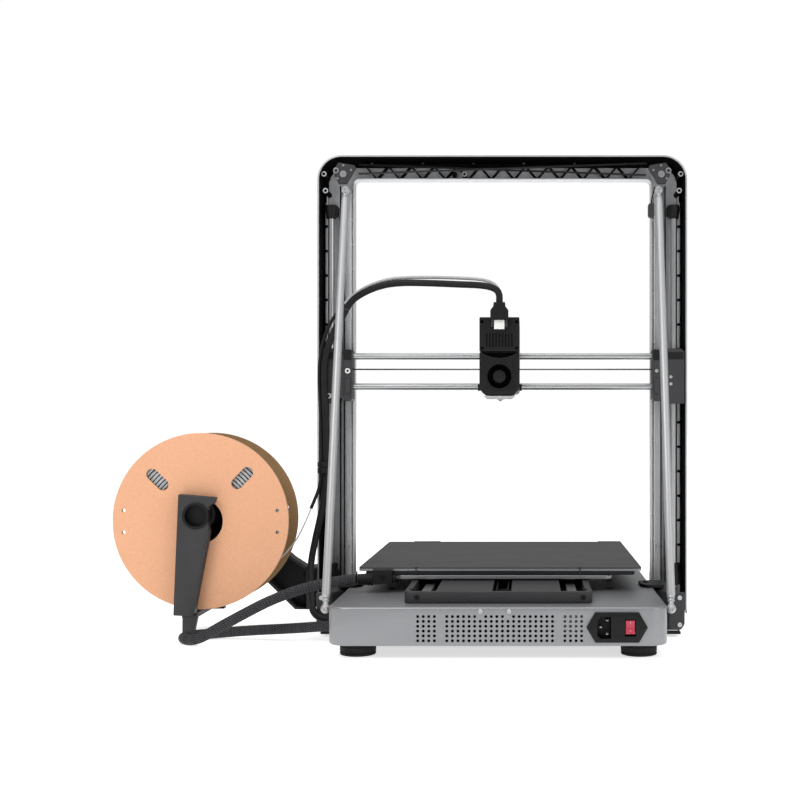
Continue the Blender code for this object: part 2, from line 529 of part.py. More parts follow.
def make_head():
    wide = (HEAD_X - HEAD_HALF, HEAD_X + HEAD_HALF)
    through = (wide[0] - 5, wide[1] + 5)
    carriage = box("head_carriage", wide, (-43.7, HEAD_SPLIT - GAP), (HEAD_BOTTOM + 0.9, 335), BLACK)
    bevel(carriage, 1)
    cut(carriage, *[cylinder(f"slide_bore_{z:.0f}", (through[0], X_ROD_Y, z), (through[1], X_ROD_Y, z),
                             ROD_RADIUS + GAP) for z in (X_ROD_TOP, X_ROD_LOW)],
        box("belt_slot", through, (X_ROD_Y - 4, X_ROD_Y + 4), (X_BELT_Z - 2, X_BELT_Z + 2)))

    chamfer = 7.0
    outline = [(wide[0] + chamfer, HEAD_BOTTOM), (wide[1] - chamfer, HEAD_BOTTOM),
               (wide[1], HEAD_BOTTOM + chamfer), (wide[1], SHELL_TOP), (wide[0], SHELL_TOP),
               (wide[0], HEAD_BOTTOM + chamfer)]
    shell = bevel(slab("head_shell", "XZ", outline, (HEAD_SPLIT, HEAD_BACK), BLACK), 1.5)
    cut(shell, cylinder("fan_pocket", (HEAD_X, 1, FAN_Z), (HEAD_X, HEAD_BACK + 5, FAN_Z), FAN_RADIUS,
                        sides=28))
    rotor = [(0, 11), (7.3, 11), (7.3, 6.5), (13.4, 5.5), (13.4, 1.5), (0, 1.5)]
    turned("fan_rotor", rotor, (HEAD_X, 1, FAN_Z), BLACK, axis=(0, 1, 0), steps=24)

    side_view = [(-43.7, 335.3), (HEAD_SPLIT, 335.3), (HEAD_SPLIT, SHELL_TOP + GAP),
                 (HEAD_BACK, SHELL_TOP + GAP), (HEAD_BACK, HEAD_TOP), (-43.7, HEAD_TOP)]
    bevel(slab("extruder_box", "YZ", side_view, wide, BLACK), 1.5)
    bevel(box("head_front_cover", wide, (HEAD_FRONT, -44), (HEAD_BOTTOM + 3, HEAD_TOP), DARK_GREY), 3, 3)
    hot_end = box("hot_end", (HEAD_X - 13, HEAD_X + 13), (-43, -22), (270.2, HEAD_BOTTOM + 0.6), STEEL)
    unite(hot_end, turned("nozzle_tip", [(0, 272), (3.5, 272), (3.5, 269.8), (0.8, 268), (0, 268)],
                          (HEAD_X, -35, 0), steps=16))
    bevel(box("cable_plug", (-8, 13.1), (HEAD_BACK + GAP, 25), (362.3, 382.6), BLACK), 1.5)


# --- spool and holder --------------------------------------------------------------------------

def make_spool():
    near, far = (SPOOL_NEAR - SPOOL_FAR) / 2, (SPOOL_FAR - SPOOL_NEAR) / 2
    profile = [(SPOOL_RADIUS, near), (SPOOL_RADIUS, near - FLANGE), (CORE_RADIUS, near - FLANGE),
               (CORE_RADIUS, far + FLANGE), (SPOOL_RADIUS, far + FLANGE), (SPOOL_RADIUS, far),
               (SPOOL_BORE, far), (SPOOL_BORE, near)]
    middle = (SPOOL_X, (SPOOL_FAR + SPOOL_NEAR) / 2, SPOOL_Z)
    turned("spool", profile, middle, CARDBOARD, axis=(0, 1, 0), steps=48, closed=True)
    room = near - FLANGE - GAP
    winding = [(WINDING_RADIUS, room), (WINDING_RADIUS, -room), (CORE_RADIUS + GAP, -room),
               (CORE_RADIUS + GAP, room)]
    turned("filament_winding", winding, middle, WHITE, axis=(0, 1, 0), steps=40, closed=True)


def make_holder():
    tilt = Vector((78.5, 71)).normalized()
    across = Vector((-tilt.y, tilt.x)) * 21
    bend, end = Vector((262, 66)), Vector((SPOOL_X, TUBE_Z))
    leg = (SPOOL_X - 10, SPOOL_X + 21)
    start_angle = math.degrees(math.atan2(-across.y, -across.x))
    outline = ([(229, 20.3), (245.6, 20.5), tuple(bend - across)]
               + arc(end, 21, start_angle, start_angle + 180, 12)
               + [tuple(bend + across), (230.8, 70.6), (229, 69)])
    arm = slab("holder_arm", "XZ", outline, (FRAME_BACK, 0), BLACK)
    unite(arm, box("arm_root", (FRAME_HALF + GAP, 231), (FRAME_FRONT + 1, -1), (21, 68)),
          box("arm_leg", leg, (-14, -4), (BRIDGE_Z[0], TUBE_Z)))

    length = UPRIGHT_FAR - 2 * GAP
    wall = [(TUBE_RADIUS, length / 2), (TUBE_RADIUS, -length / 2), (TUBE_BORE, -length / 2),
            (TUBE_BORE, length / 2)]
    turned("holder_tube", wall, (SPOOL_X, UPRIGHT_FAR / 2, TUBE_Z), BLACK, axis=(0, 1, 0), steps=28,
           closed=True)

    plate = [(321.2, 145), (324, 125), (330.1, 119), (345.4, 32), (337.4, 23), (347.6, 0.5), (361, 0.5),
             (369, 24), (363.5, 162), (321.2, 159)]
    upright = slab("holder_upright", "XZ", plate, (UPRIGHT_FAR, UPRIGHT_NEAR), DARK_GREY,
                   hole=circle((SPOOL_X, TUBE_Z), 10, 20))
    unite(upright, box("holder_bridge", leg, (-3.7, UPRIGHT_FAR + 4), BRIDGE_Z))


def make_cords():
    cord("bed_cable", BED_CABLE, BED_CABLE_DIAMETER, BLACK, 9, 3)
    cord("head_cable_upper", HEAD_CABLE_UPPER, HEAD_CABLE_DIAMETER, BLACK, 9, 3)
    cord("head_cable_lower", HEAD_CABLE_LOWER, HEAD_CABLE_DIAMETER, BLACK, 10, 3)
    cord("feed_tube_upper", FEED_TUBE_UPPER, TUBE_DIAMETER, WHITE, 8)
    cord("feed_tube_lower", FEED_TUBE_LOWER, TUBE_DIAMETER, WHITE, 9)
    cord("filament", FILAMENT, FILAMENT_DIAMETER, WHITE, 4)


make_base()
make_power_inlet()
make_electronics()
make_deck()
make_bed()
make_frame()
make_display()
make_beam()
make_head()
make_spool()
make_holder()
make_cords()
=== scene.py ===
"""The looks of a large FDM printer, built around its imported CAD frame.

Shapes are worked out in millimetres in the printer's own frame: X = 0 is the middle of the portal
frame, the mains side is +Y and the floor is Z = 0. ORIGIN and MM turn them into the row frame. Where
a pair of parts stands left and right, the right one (+X) is built and the left one is mirrored.
"""
import math

import bmesh
import bpy
from mathutils import Matrix, Vector


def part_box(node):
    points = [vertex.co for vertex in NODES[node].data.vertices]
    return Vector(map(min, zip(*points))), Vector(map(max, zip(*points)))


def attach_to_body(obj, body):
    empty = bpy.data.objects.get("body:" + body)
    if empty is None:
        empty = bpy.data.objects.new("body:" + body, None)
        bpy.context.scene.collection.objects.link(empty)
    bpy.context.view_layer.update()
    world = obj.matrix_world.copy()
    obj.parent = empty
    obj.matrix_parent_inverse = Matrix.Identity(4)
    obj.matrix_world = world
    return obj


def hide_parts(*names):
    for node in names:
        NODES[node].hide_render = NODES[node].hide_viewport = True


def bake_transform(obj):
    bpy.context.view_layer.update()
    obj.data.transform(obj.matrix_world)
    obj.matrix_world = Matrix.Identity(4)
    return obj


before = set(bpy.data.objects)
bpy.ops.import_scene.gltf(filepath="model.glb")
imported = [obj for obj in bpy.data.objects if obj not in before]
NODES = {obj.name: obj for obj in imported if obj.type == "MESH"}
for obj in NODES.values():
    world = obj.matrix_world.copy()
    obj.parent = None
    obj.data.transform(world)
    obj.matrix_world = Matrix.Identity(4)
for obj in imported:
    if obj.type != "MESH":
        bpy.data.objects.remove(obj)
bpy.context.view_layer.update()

MM = 0.001
BASE_BACK_FACE = 215.0                          # the base's back face, in this script's frame
frame_low, frame_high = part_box("gantry_frame")
ORIGIN = Vector(((frame_low.x + frame_high.x) / 2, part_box("base_shell")[1].y - BASE_BACK_FACE * MM, 0))
TO_ROW = Matrix.Translation(ORIGIN) @ Matrix.Scale(MM, 4)
SIDES = (("right", 1), ("left", -1))

# Cords: the routes of the CAD source, in millimetres
BED_CABLE_DIAMETER = 11.5
BED_CABLE = [(159.2, 100, 68), (166, 100, 67.9), (179, 102, 66.4), (194, 106.5, 64), (210, 112.5, 61),
             (226, 118.5, 56.6), (242, 124, 51), (257, 129, 44.6), (272, 133, 37), (286, 136, 29.6),
             (299, 137.8, 22.5), (311, 138, 15.5), (322, 136.5, 9.8), (332, 132, 6.6), (341, 125, 5.9),
             (346.5, 114.5, 5.9), (344, 103, 5.9), (336, 94.5, 5.9), (324, 89.8, 6.3), (308, 88.8, 7.6),
             (290, 90, 9.2), (268, 93, 11), (243, 97, 12.8), (220, 101.5, 14.8), (199, 105.5, 16.8),
             (185, 107, 17.8), (174.5, 107, 18)]
HEAD_CABLE_DIAMETER = 8.0
HEAD_CABLE_UPPER = [(2.6, 20, 383.1), (2.8, 20, 391.5), (6.2, 19.2, 397.4), (14.5, 17.5, 401.2),
                    (28, 15.8, 403.3), (49.3, 14, 404.4), (72, 12, 405.6), (96.7, 10, 406.6),
                    (115, 8.5, 406.8), (132.4, 7, 405.5), (146, 5, 402.6), (156.5, 3, 399),
                    (166, 1.5, 394.6), (174.7, 0, 389.2), (180.2, -1, 383.7), (184.5, -2, 377.3)]
HEAD_CABLE_LOWER = [(185, -2.1, 376.4), (190.2, -3, 367), (196, -4, 357.5), (202.2, -5, 345),
                    (208, -5.6, 329), (211.2, -6, 311), (211.6, -6, 290), (210, -6, 250),
                    (209, -6, 215), (208.8, -6, 182), (211.8, -5, 152), (216.8, -3, 126),
                    (221.6, 2, 101), (224, 12, 78.5), (221, 33, 57.5), (214.5, 60, 38), (211, 77, 30.5),
                    (204, 87.5, 25.5), (194, 91.7, 22.8), (183, 92.2, 22), (174.6, 92.2, 22)]
TUBE_DIAMETER = 4.0
FEED_TUBE_UPPER = [(1, 0, 366.4), (0.7, 1, 378), (1, 2, 390), (4, 3, 400), (11, 4, 407),
                   (22, 5, 410.6), (37.5, 5, 412.2), (60, 4, 413.3), (84.6, 3, 413.9),
                   (106, 2, 413.9), (126, 1, 412.9), (138, -0.5, 411), (149.5, -2, 407.8),
                   (160, -3.5, 403.6), (170, -4.5, 398.2), (179.5, -5, 391), (187, -5.5, 383.5)]
FEED_TUBE_LOWER = [(187.3, -5.5, 383.2), (194, -6, 375.4), (202.6, -7, 364), (209.8, -7.5, 349),
                   (215, -8, 331), (217.6, -8, 312), (218, -8, 290), (216.4, -8, 252),
                   (215.4, -8, 216), (215.4, -8, 184), (218, -7, 165), (222.8, -4, 150.5),
                   (226.8, -1, 140)]
FILAMENT_DIAMETER = 1.75
FILAMENT = [(270.5, 30, 78), (264, 29, 79.8), (257, 26.5, 84.5), (250, 22.5, 92), (243, 16.5, 101.5),
            (237, 10, 113), (231.5, 4, 126.5), (228.5, 1, 134.5), (227, -0.8, 139.6)]


# --- camera, light and floor -------------------------------------------------------------------

def in_row(x, y, z):
    return ORIGIN + Vector((x, y, z)) * MM


def make_camera():
    data = bpy.data.cameras.new("camera")
    data.lens = 56.7
    data.sensor_width = 36
    data.shift_x = -0.159
    data.shift_y = 0.033
    camera = bpy.data.objects.new("camera", data)
    camera.location = in_row(-30, 1495, 237.5)
    camera.rotation_euler = (math.pi / 2, 0, math.pi)
    bpy.context.scene.collection.objects.link(camera)
    bpy.context.scene.camera = camera


def make_light(name, place, target, size, power):
    data = bpy.data.lights.new(name, "AREA")
    data.shape = "RECTANGLE"
    data.size, data.size_y = size
    data.energy = power
    light = bpy.data.objects.new(name, data)
    light.location = place
    light.rotation_euler = (Vector(target) - Vector(place)).to_track_quat("-Z", "Y").to_euler()
    bpy.context.scene.collection.objects.link(light)


def make_world():
    """Soft studio surroundings: white for the backdrop, darker low down where metal mirrors it."""
    world = bpy.data.worlds.new("studio")
    bpy.context.scene.world = world
    world.use_nodes = True
    tree = world.node_tree
    background = tree.nodes["Background"]
    place = tree.nodes.new("ShaderNodeTexCoord")
    split = tree.nodes.new("ShaderNodeSeparateXYZ")
    ramp = tree.nodes.new("ShaderNodeValToRGB")
    ramp.color_ramp.elements[0].position = 0.0
    ramp.color_ramp.elements[0].color = (0.2, 0.2, 0.2, 1)
    ramp.color_ramp.elements[1].position = 0.8
    ramp.color_ramp.elements[1].color = (1, 1, 1, 1)
    tree.links.new(place.outputs["Generated"], split.inputs[0])
    tree.links.new(split.outputs["Z"], ramp.inputs[0])
    path = tree.nodes.new("ShaderNodeLightPath")
    mix = tree.nodes.new("ShaderNodeMix")
    mix.data_type = "RGBA"
    mix.inputs[7].default_value = (1.35, 1.35, 1.35, 1)
    tree.links.new(path.outputs["Is Camera Ray"], mix.inputs[0])
    tree.links.new(ramp.outputs[0], mix.inputs[6])
    tree.links.new(mix.outputs[2], background.inputs["Color"])
    background.inputs["Strength"].default_value = 0.75


def make_floor():
    mesh = bpy.data.meshes.new("floor")
    bm = bmesh.new()
    bmesh.ops.create_grid(bm, x_segments=2, y_segments=2, size=30)
    bm.to_mesh(mesh)
    bm.free()
    floor = bpy.data.objects.new("floor", mesh)
    bpy.context.scene.collection.objects.link(floor)
    white = surface("floor_white", (0.8, 0.8, 0.8), 0.8, mottle=0.01, bump=0.0)
    shader = white.node_tree.nodes["Principled BSDF"]
    shader.inputs["Emission Color"].default_value = (1, 1, 1, 1)
    shader.inputs["Emission Strength"].default_value = 0.65
    mesh.materials.append(white)


# --- finishes ----------------------------------------------------------------------------------

def node(tree, kind, **inputs):
    made = tree.nodes.new("ShaderNode" + kind)
    for name, value in inputs.items():
        made.inputs[name.replace("_", " ")].default_value = value
    return made


def blank_finish(name):
    material = bpy.data.materials.new(name)
    material.use_nodes = True
    return material, material.node_tree, material.node_tree.nodes["Principled BSDF"]


def scaled(colour, factor):
    return (*[min(1.0, c * factor) for c in colour], 1)


def noise(tree, vector, scale, detail=4.0):
    made = node(tree, "TexNoise", Scale=scale, Detail=detail)
    tree.links.new(vector, made.inputs["Vector"])
    return made.outputs[0]


def ramped(tree, value, stops):
    """A colour ramp over a value, from (position, colour) stops."""
    made = tree.nodes.new("ShaderNodeValToRGB")
    ramp = made.color_ramp
    while len(ramp.elements) < len(stops):
        ramp.elements.new(0.5)
    for element, (position, colour) in zip(ramp.elements, stops):
        element.position = position
        element.color = colour
    tree.links.new(value, made.inputs[0])
    return made.outputs[0]


def mapped(tree, value, low, high, start=0.3, end=0.7):
    made = node(tree, "MapRange", From_Min=start, From_Max=end, To_Min=low, To_Max=high)
    tree.links.new(value, made.inputs["Value"])
    return made.outputs["Result"]


def blended(tree, factor, first, second):
    made = tree.nodes.new("ShaderNodeMix")
    made.data_type = "RGBA"
    tree.links.new(factor, made.inputs[0])
    for socket, colour in ((made.inputs[6], first), (made.inputs[7], second)):
        if isinstance(colour, tuple):
            socket.default_value = colour
        else:
            tree.links.new(colour, socket)
    return made.outputs[2]


def coordinates(tree, stretch=(1, 1, 1), source="Object"):
    place = tree.nodes.new("ShaderNodeTexCoord")
    mapping = node(tree, "Mapping", Scale=stretch)
    tree.links.new(place.outputs[source], mapping.inputs["Vector"])
    return mapping.outputs[0]


def relief(tree, shader, height, strength, distance=0.0002):
    bump = node(tree, "Bump", Strength=strength, Distance=distance)
    tree.links.new(height, bump.inputs["Height"])
    tree.links.new(bump.outputs[0], shader.inputs["Normal"])


def surface(name, colour, roughness, metallic=0.0, mottle=0.07, grain=1100.0, bump=0.12, stretch=(1, 1, 1),
            uneven=0.07, wear=0.0, specular=0.5):
    """Uneven tone and gloss, a fine relief, and paler worn edges, on one colour."""
    material, tree, shader = blank_finish(name)
    shader.inputs["Specular IOR Level"].default_value = specular
    shader.inputs["Metallic"].default_value = metallic
    vector = coordinates(tree, stretch)
    broad = noise(tree, vector, 45.0)
    tone = ramped(tree, broad, [(0.25, scaled(colour, 1 - mottle)), (0.75, scaled(colour, 1 + mottle))])
    if wear:
        geometry = tree.nodes.new("ShaderNodeNewGeometry")
        edge = mapped(tree, geometry.outputs["Pointiness"], 0.0, wear, 0.53, 0.62)
        tone = blended(tree, edge, tone, scaled(colour, 2.2))
    tree.links.new(tone, shader.inputs["Base Color"])
    fine = noise(tree, vector, grain, 2.0)
    tree.links.new(mapped(tree, fine, roughness - uneven, roughness + uneven), shader.inputs["Roughness"])
    if bump:
        relief(tree, shader, fine, bump)
    return material


def cardboard(name, colour, dark):
    """Pressed board: long fibres, small dark and pale flecks, and a slow change of tone."""
    material, tree, shader = blank_finish(name)
    fibres = noise(tree, coordinates(tree, (1, 1, 6)), 420.0, 5.0)
    flecks = noise(tree, coordinates(tree), 1900.0, 1.0)
    slow = noise(tree, coordinates(tree), 14.0, 2.0)
    tone = ramped(tree, fibres, [(0.3, (*dark, 1)), (0.52, (*colour, 1)), (0.8, scaled(colour, 1.07))])
    tone = blended(tree, mapped(tree, slow, 0.0, 0.5), tone, (*colour, 1))
    tone = blended(tree, mapped(tree, flecks, 0.0, 0.35, 0.66, 0.74), tone, scaled(dark, 0.8))
    tree.links.new(tone, shader.inputs["Base Color"])
    shader.inputs["Roughness"].default_value = 0.82
    shader.inputs["Sheen Weight"].default_value = 0.1
    relief(tree, shader, fibres, 0.25)
    return material


def braid(name, colour, around, along):
    """Woven sleeve: two sets of strands cross at a slant, read from the piece's own UV map; the crests of the
    strands carry a painted highlight and the hollows between them painted shade.
    """
    material, tree, shader = blank_finish(name)
    shader.inputs["Specular IOR Level"].default_value = 0.15
    place = tree.nodes.new("ShaderNodeTexCoord")
    split = tree.nodes.new("ShaderNodeSeparateXYZ")
    tree.links.new(place.outputs["UV"], split.inputs[0])
    waves = []
    for sign in (1, -1):
        turn = node(tree, "Math")
        turn.operation = "MULTIPLY"
        turn.inputs[1].default_value = sign * around * 2 * math.pi
        tree.links.new(split.outputs["X"], turn.inputs[0])
        run = node(tree, "Math")
        run.operation = "MULTIPLY_ADD"
        run.inputs[1].default_value = along * 2 * math.pi
        tree.links.new(split.outputs["Y"], run.inputs[0])
        tree.links.new(turn.outputs[0], run.inputs[2])
        wave = node(tree, "Math")
        wave.operation = "SINE"
        tree.links.new(run.outputs[0], wave.inputs[0])
        strand = node(tree, "Math")
        strand.operation = "ABSOLUTE"
        tree.links.new(wave.outputs[0], strand.inputs[0])
        waves.append(strand.outputs[0])
    weave = node(tree, "Math")
    weave.operation = "MAXIMUM"
    tree.links.new(waves[0], weave.inputs[0])
    tree.links.new(waves[1], weave.inputs[1])
    # Painted highlight on the strand crests, painted shade in the hollows between them.
    tone = ramped(tree, weave.outputs[0], [(0.7, scaled(colour, 0.2)), (0.97, scaled(colour, 5.0))])
    tree.links.new(tone, shader.inputs["Base Color"])
    threads = noise(tree, coordinates(tree, (60, 900, 1), "UV"), 4.0, 2.0)
    tree.links.new(mapped(tree, threads, 0.42, 0.68), shader.inputs["Roughness"])
    relief(tree, shader, weave.outputs[0], 0.5, 0.0004)
    return material


def pebbled(name, colour, roughness, cell, bump, metallic=0.0):
    """A fine pebbled coat, as on a powder-coated plate or a moulded grip."""
    material, tree, shader = blank_finish(name)
    shader.inputs["Specular IOR Level"].default_value = 0.25
    vector = coordinates(tree)
    cells = node(tree, "TexVoronoi", Scale=cell)
    tree.links.new(vector, cells.inputs["Vector"])
    broad = noise(tree, vector, 18.0, 3.0)
    tone = ramped(tree, broad, [(0.3, scaled(colour, 0.92)), (0.7, scaled(colour, 1.08))])
    speck = mapped(tree, cells.outputs["Distance"], 0.35, 0.0, 0.1, 0.5)
    tree.links.new(blended(tree, speck, tone, scaled(colour, 1.5)), shader.inputs["Base Color"])
    shader.inputs["Metallic"].default_value = metallic
    tree.links.new(mapped(tree, broad, roughness - 0.06, roughness + 0.06), shader.inputs["Roughness"])
    relief(tree, shader, cells.outputs["Distance"], bump)
    return material


def circuit(name):
    """Green board with lighter tracks, from two crossed sets of cells."""
    material, tree, shader = blank_finish(name)
    cells = node(tree, "TexVoronoi", Scale=120.0)
    cells.distance = "MANHATTAN"
    cells.feature = "F1"
    tree.links.new(coordinates(tree), cells.inputs["Vector"])
    tone = ramped(tree, cells.outputs["Distance"],
                  [(0.35, (0.01, 0.09, 0.04, 1)), (0.45, (0.03, 0.2, 0.09, 1))])
    tree.links.new(tone, shader.inputs["Base Color"])
    shader.inputs["Roughness"].default_value = 0.4
    relief(tree, shader, cells.outputs["Distance"], 0.2)
    return material


SATIN = surface("satin_aluminium", (0.25, 0.254, 0.264), 0.38, 0.6, 0.025, 1500.0, 0.05, (1, 1, 14))
FRAME_METAL = surface("cast_frame", (0.6, 0.605, 0.62), 0.45, 0.3, 0.07, 900.0, 0.12, (3, 3, 1), wear=0.4)
RIM_METAL = surface("machined_rim", (0.52, 0.525, 0.53), 0.35, 0.7, 0.04, 1200.0, 0.06)
STEEL = surface("ground_steel", (0.42, 0.425, 0.43), 0.3, 0.9, 0.03, 500.0, 0.0, (1, 1, 0.2), 0.02)
BRACE_METAL = surface("drawn_aluminium", (0.4, 0.405, 0.41), 0.42, 0.5, 0.03, 700.0, 0.03, (8, 8, 0.6))
BLACK = surface("black_plastic", (0.006, 0.006, 0.0065), 0.45, 0.0, 0.2, 1600.0, 0.14, wear=0.5, specular=0.2)
DARK = surface("dark_grey_plastic", (0.03, 0.03, 0.032), 0.5, 0.0, 0.1, 1500.0, 0.14, wear=0.3, specular=0.3)
# Matt black is the colour of some black parts. It is also painted shade where it lines channels, grooves,
# bores and gaps that stand in shade.
MATT_BLACK = surface("matt_black_and_painted_shade", (0.003, 0.003, 0.004), 0.8, 0.0, 0.2, 900.0, 0.1, specular=0.05)
RUBBER = pebbled("rubber", (0.016, 0.016, 0.017), 0.78, 900.0, 0.2)
BELT = surface("belt_rubber", (0.008, 0.008, 0.009), 0.7, 0.0, 0.2, 2200.0, 0.3, specular=0.2)
PLATE = pebbled("build_surface", (0.05, 0.051, 0.053), 0.55, 1500.0, 0.16)
WHITE = surface("white_plastic", (0.78, 0.78, 0.76), 0.42, 0.0, 0.04, 900.0, 0.1)
TUBING = surface("feed_tube", (0.4, 0.405, 0.41), 0.32, 0.0, 0.05, 800.0, 0.05)
FILAMENT_FINISH = surface("filament", (0.5, 0.51, 0.52), 0.36, 0.0, 0.08, 900.0, 0.05)
RED = surface("red_switch", (0.4, 0.03, 0.06), 0.36, 0.0, 0.12, 700.0, 0.05)
PINK = surface("switch_mark", (0.62, 0.2, 0.24), 0.4, 0.0, 0.05, 700.0, 0.05)
BOARD = cardboard("cardboard", (0.71, 0.375, 0.22), (0.6, 0.29, 0.15))
# Darker board: the board's cut edges, and painted shade on the flanges' inner faces, which stand in shade.
BOARD_EDGE_AND_SHADE = cardboard("cardboard_edge_and_shade", (0.3, 0.175, 0.075), (0.16, 0.09, 0.04))
SLEEVE = surface("smooth_sleeve", (0.008, 0.008, 0.009), 0.52, 0.0, 0.25, 2400.0, 0.3, specular=0.2)
BRAID = braid("braided_sleeve", (0.012, 0.012, 0.013), 8, 0.092)
PCB = circuit("circuit_board")
GLASS = surface("screen", (0.008, 0.009, 0.012), 0.08, 0.0, 0.1, 300.0, 0.0, uneven=0.02)
CASE = surface("supply_case", (0.5, 0.5, 0.51), 0.4, 0.9, 0.05, 800.0, 0.08, (1, 9, 1))


# --- outlines ----------------------------------------------------------------------------------

def arc(centre, radius, start, end, steps):
    """Points on an arc, its angles in degrees."""
    angles = [math.radians(start + (end - start) * i / steps) for i in range(steps + 1)]
    return [(centre[0] + radius * math.cos(a), centre[1] + radius * math.sin(a)) for a in angles]


def rounded(x, y, radius, steps=8):
    """A rectangle with round corners."""
    corners = ((x[1], y[0], -1, 1, -90), (x[1], y[1], -1, -1, 0),
               (x[0], y[1], 1, -1, 90), (x[0], y[0], 1, 1, 180))
    points = []
    for cx, cy, sx, sy, start in corners:
        points += arc((cx + sx * radius, cy + sy * radius), radius, start, start + 90, steps)
    return points


def stadium(centre, half_length, radius, slant, steps=10):
    """A slot with round ends, its long way at the slant in degrees."""
    along = Vector((math.cos(math.radians(slant)), math.sin(math.radians(slant)))) * half_length
    ends = (Vector(centre) + along, Vector(centre) - along)
    return (arc(ends[0], radius, slant - 90, slant + 90, steps)
            + arc(ends[1], radius, slant + 90, slant + 270, steps))


def portal(half, top, radius, bottom, steps=12):
    """The path up one leg of the frame, over its beam and down the other."""
    return ([(half, bottom)] + arc((half - radius, top - radius), radius, 0, 90, steps)
            + arc((radius - half, top - radius), radius, 90, 180, steps) + [(-half, bottom)])


def smooth_route(points, spacing):
    """Evenly spaced points on a Catmull-Rom curve through the given ones."""
    points = [Vector(p) for p in points]
    ends = [points[0] * 2 - points[1]] + points + [points[-1] * 2 - points[-2]]
    fine = []
    for a, b, c, d in zip(ends, ends[1:], ends[2:], ends[3:]):
        for i in range(20):
            t = i / 20
            fine.append(0.5 * (2 * b + (c - a) * t + (2 * a - 5 * b + 4 * c - d) * t ** 2
                               + (3 * b - a - 3 * c + d) * t ** 3))
    fine.append(points[-1])
    lengths = [0.0]
    for first, second in zip(fine, fine[1:]):
        lengths.append(lengths[-1] + (second - first).length)
    count = max(2, round(lengths[-1] / spacing))
    even, k = [], 0
    for i in range(count + 1):
        target = lengths[-1] * i / count
        while k < len(fine) - 2 and lengths[k + 1] < target:
            k += 1
        part = (target - lengths[k]) / max(lengths[k + 1] - lengths[k], 1e-9)
        even.append(fine[k].lerp(fine[k + 1], part))
    return even


# --- meshes ------------------------------------------------------------------------------------

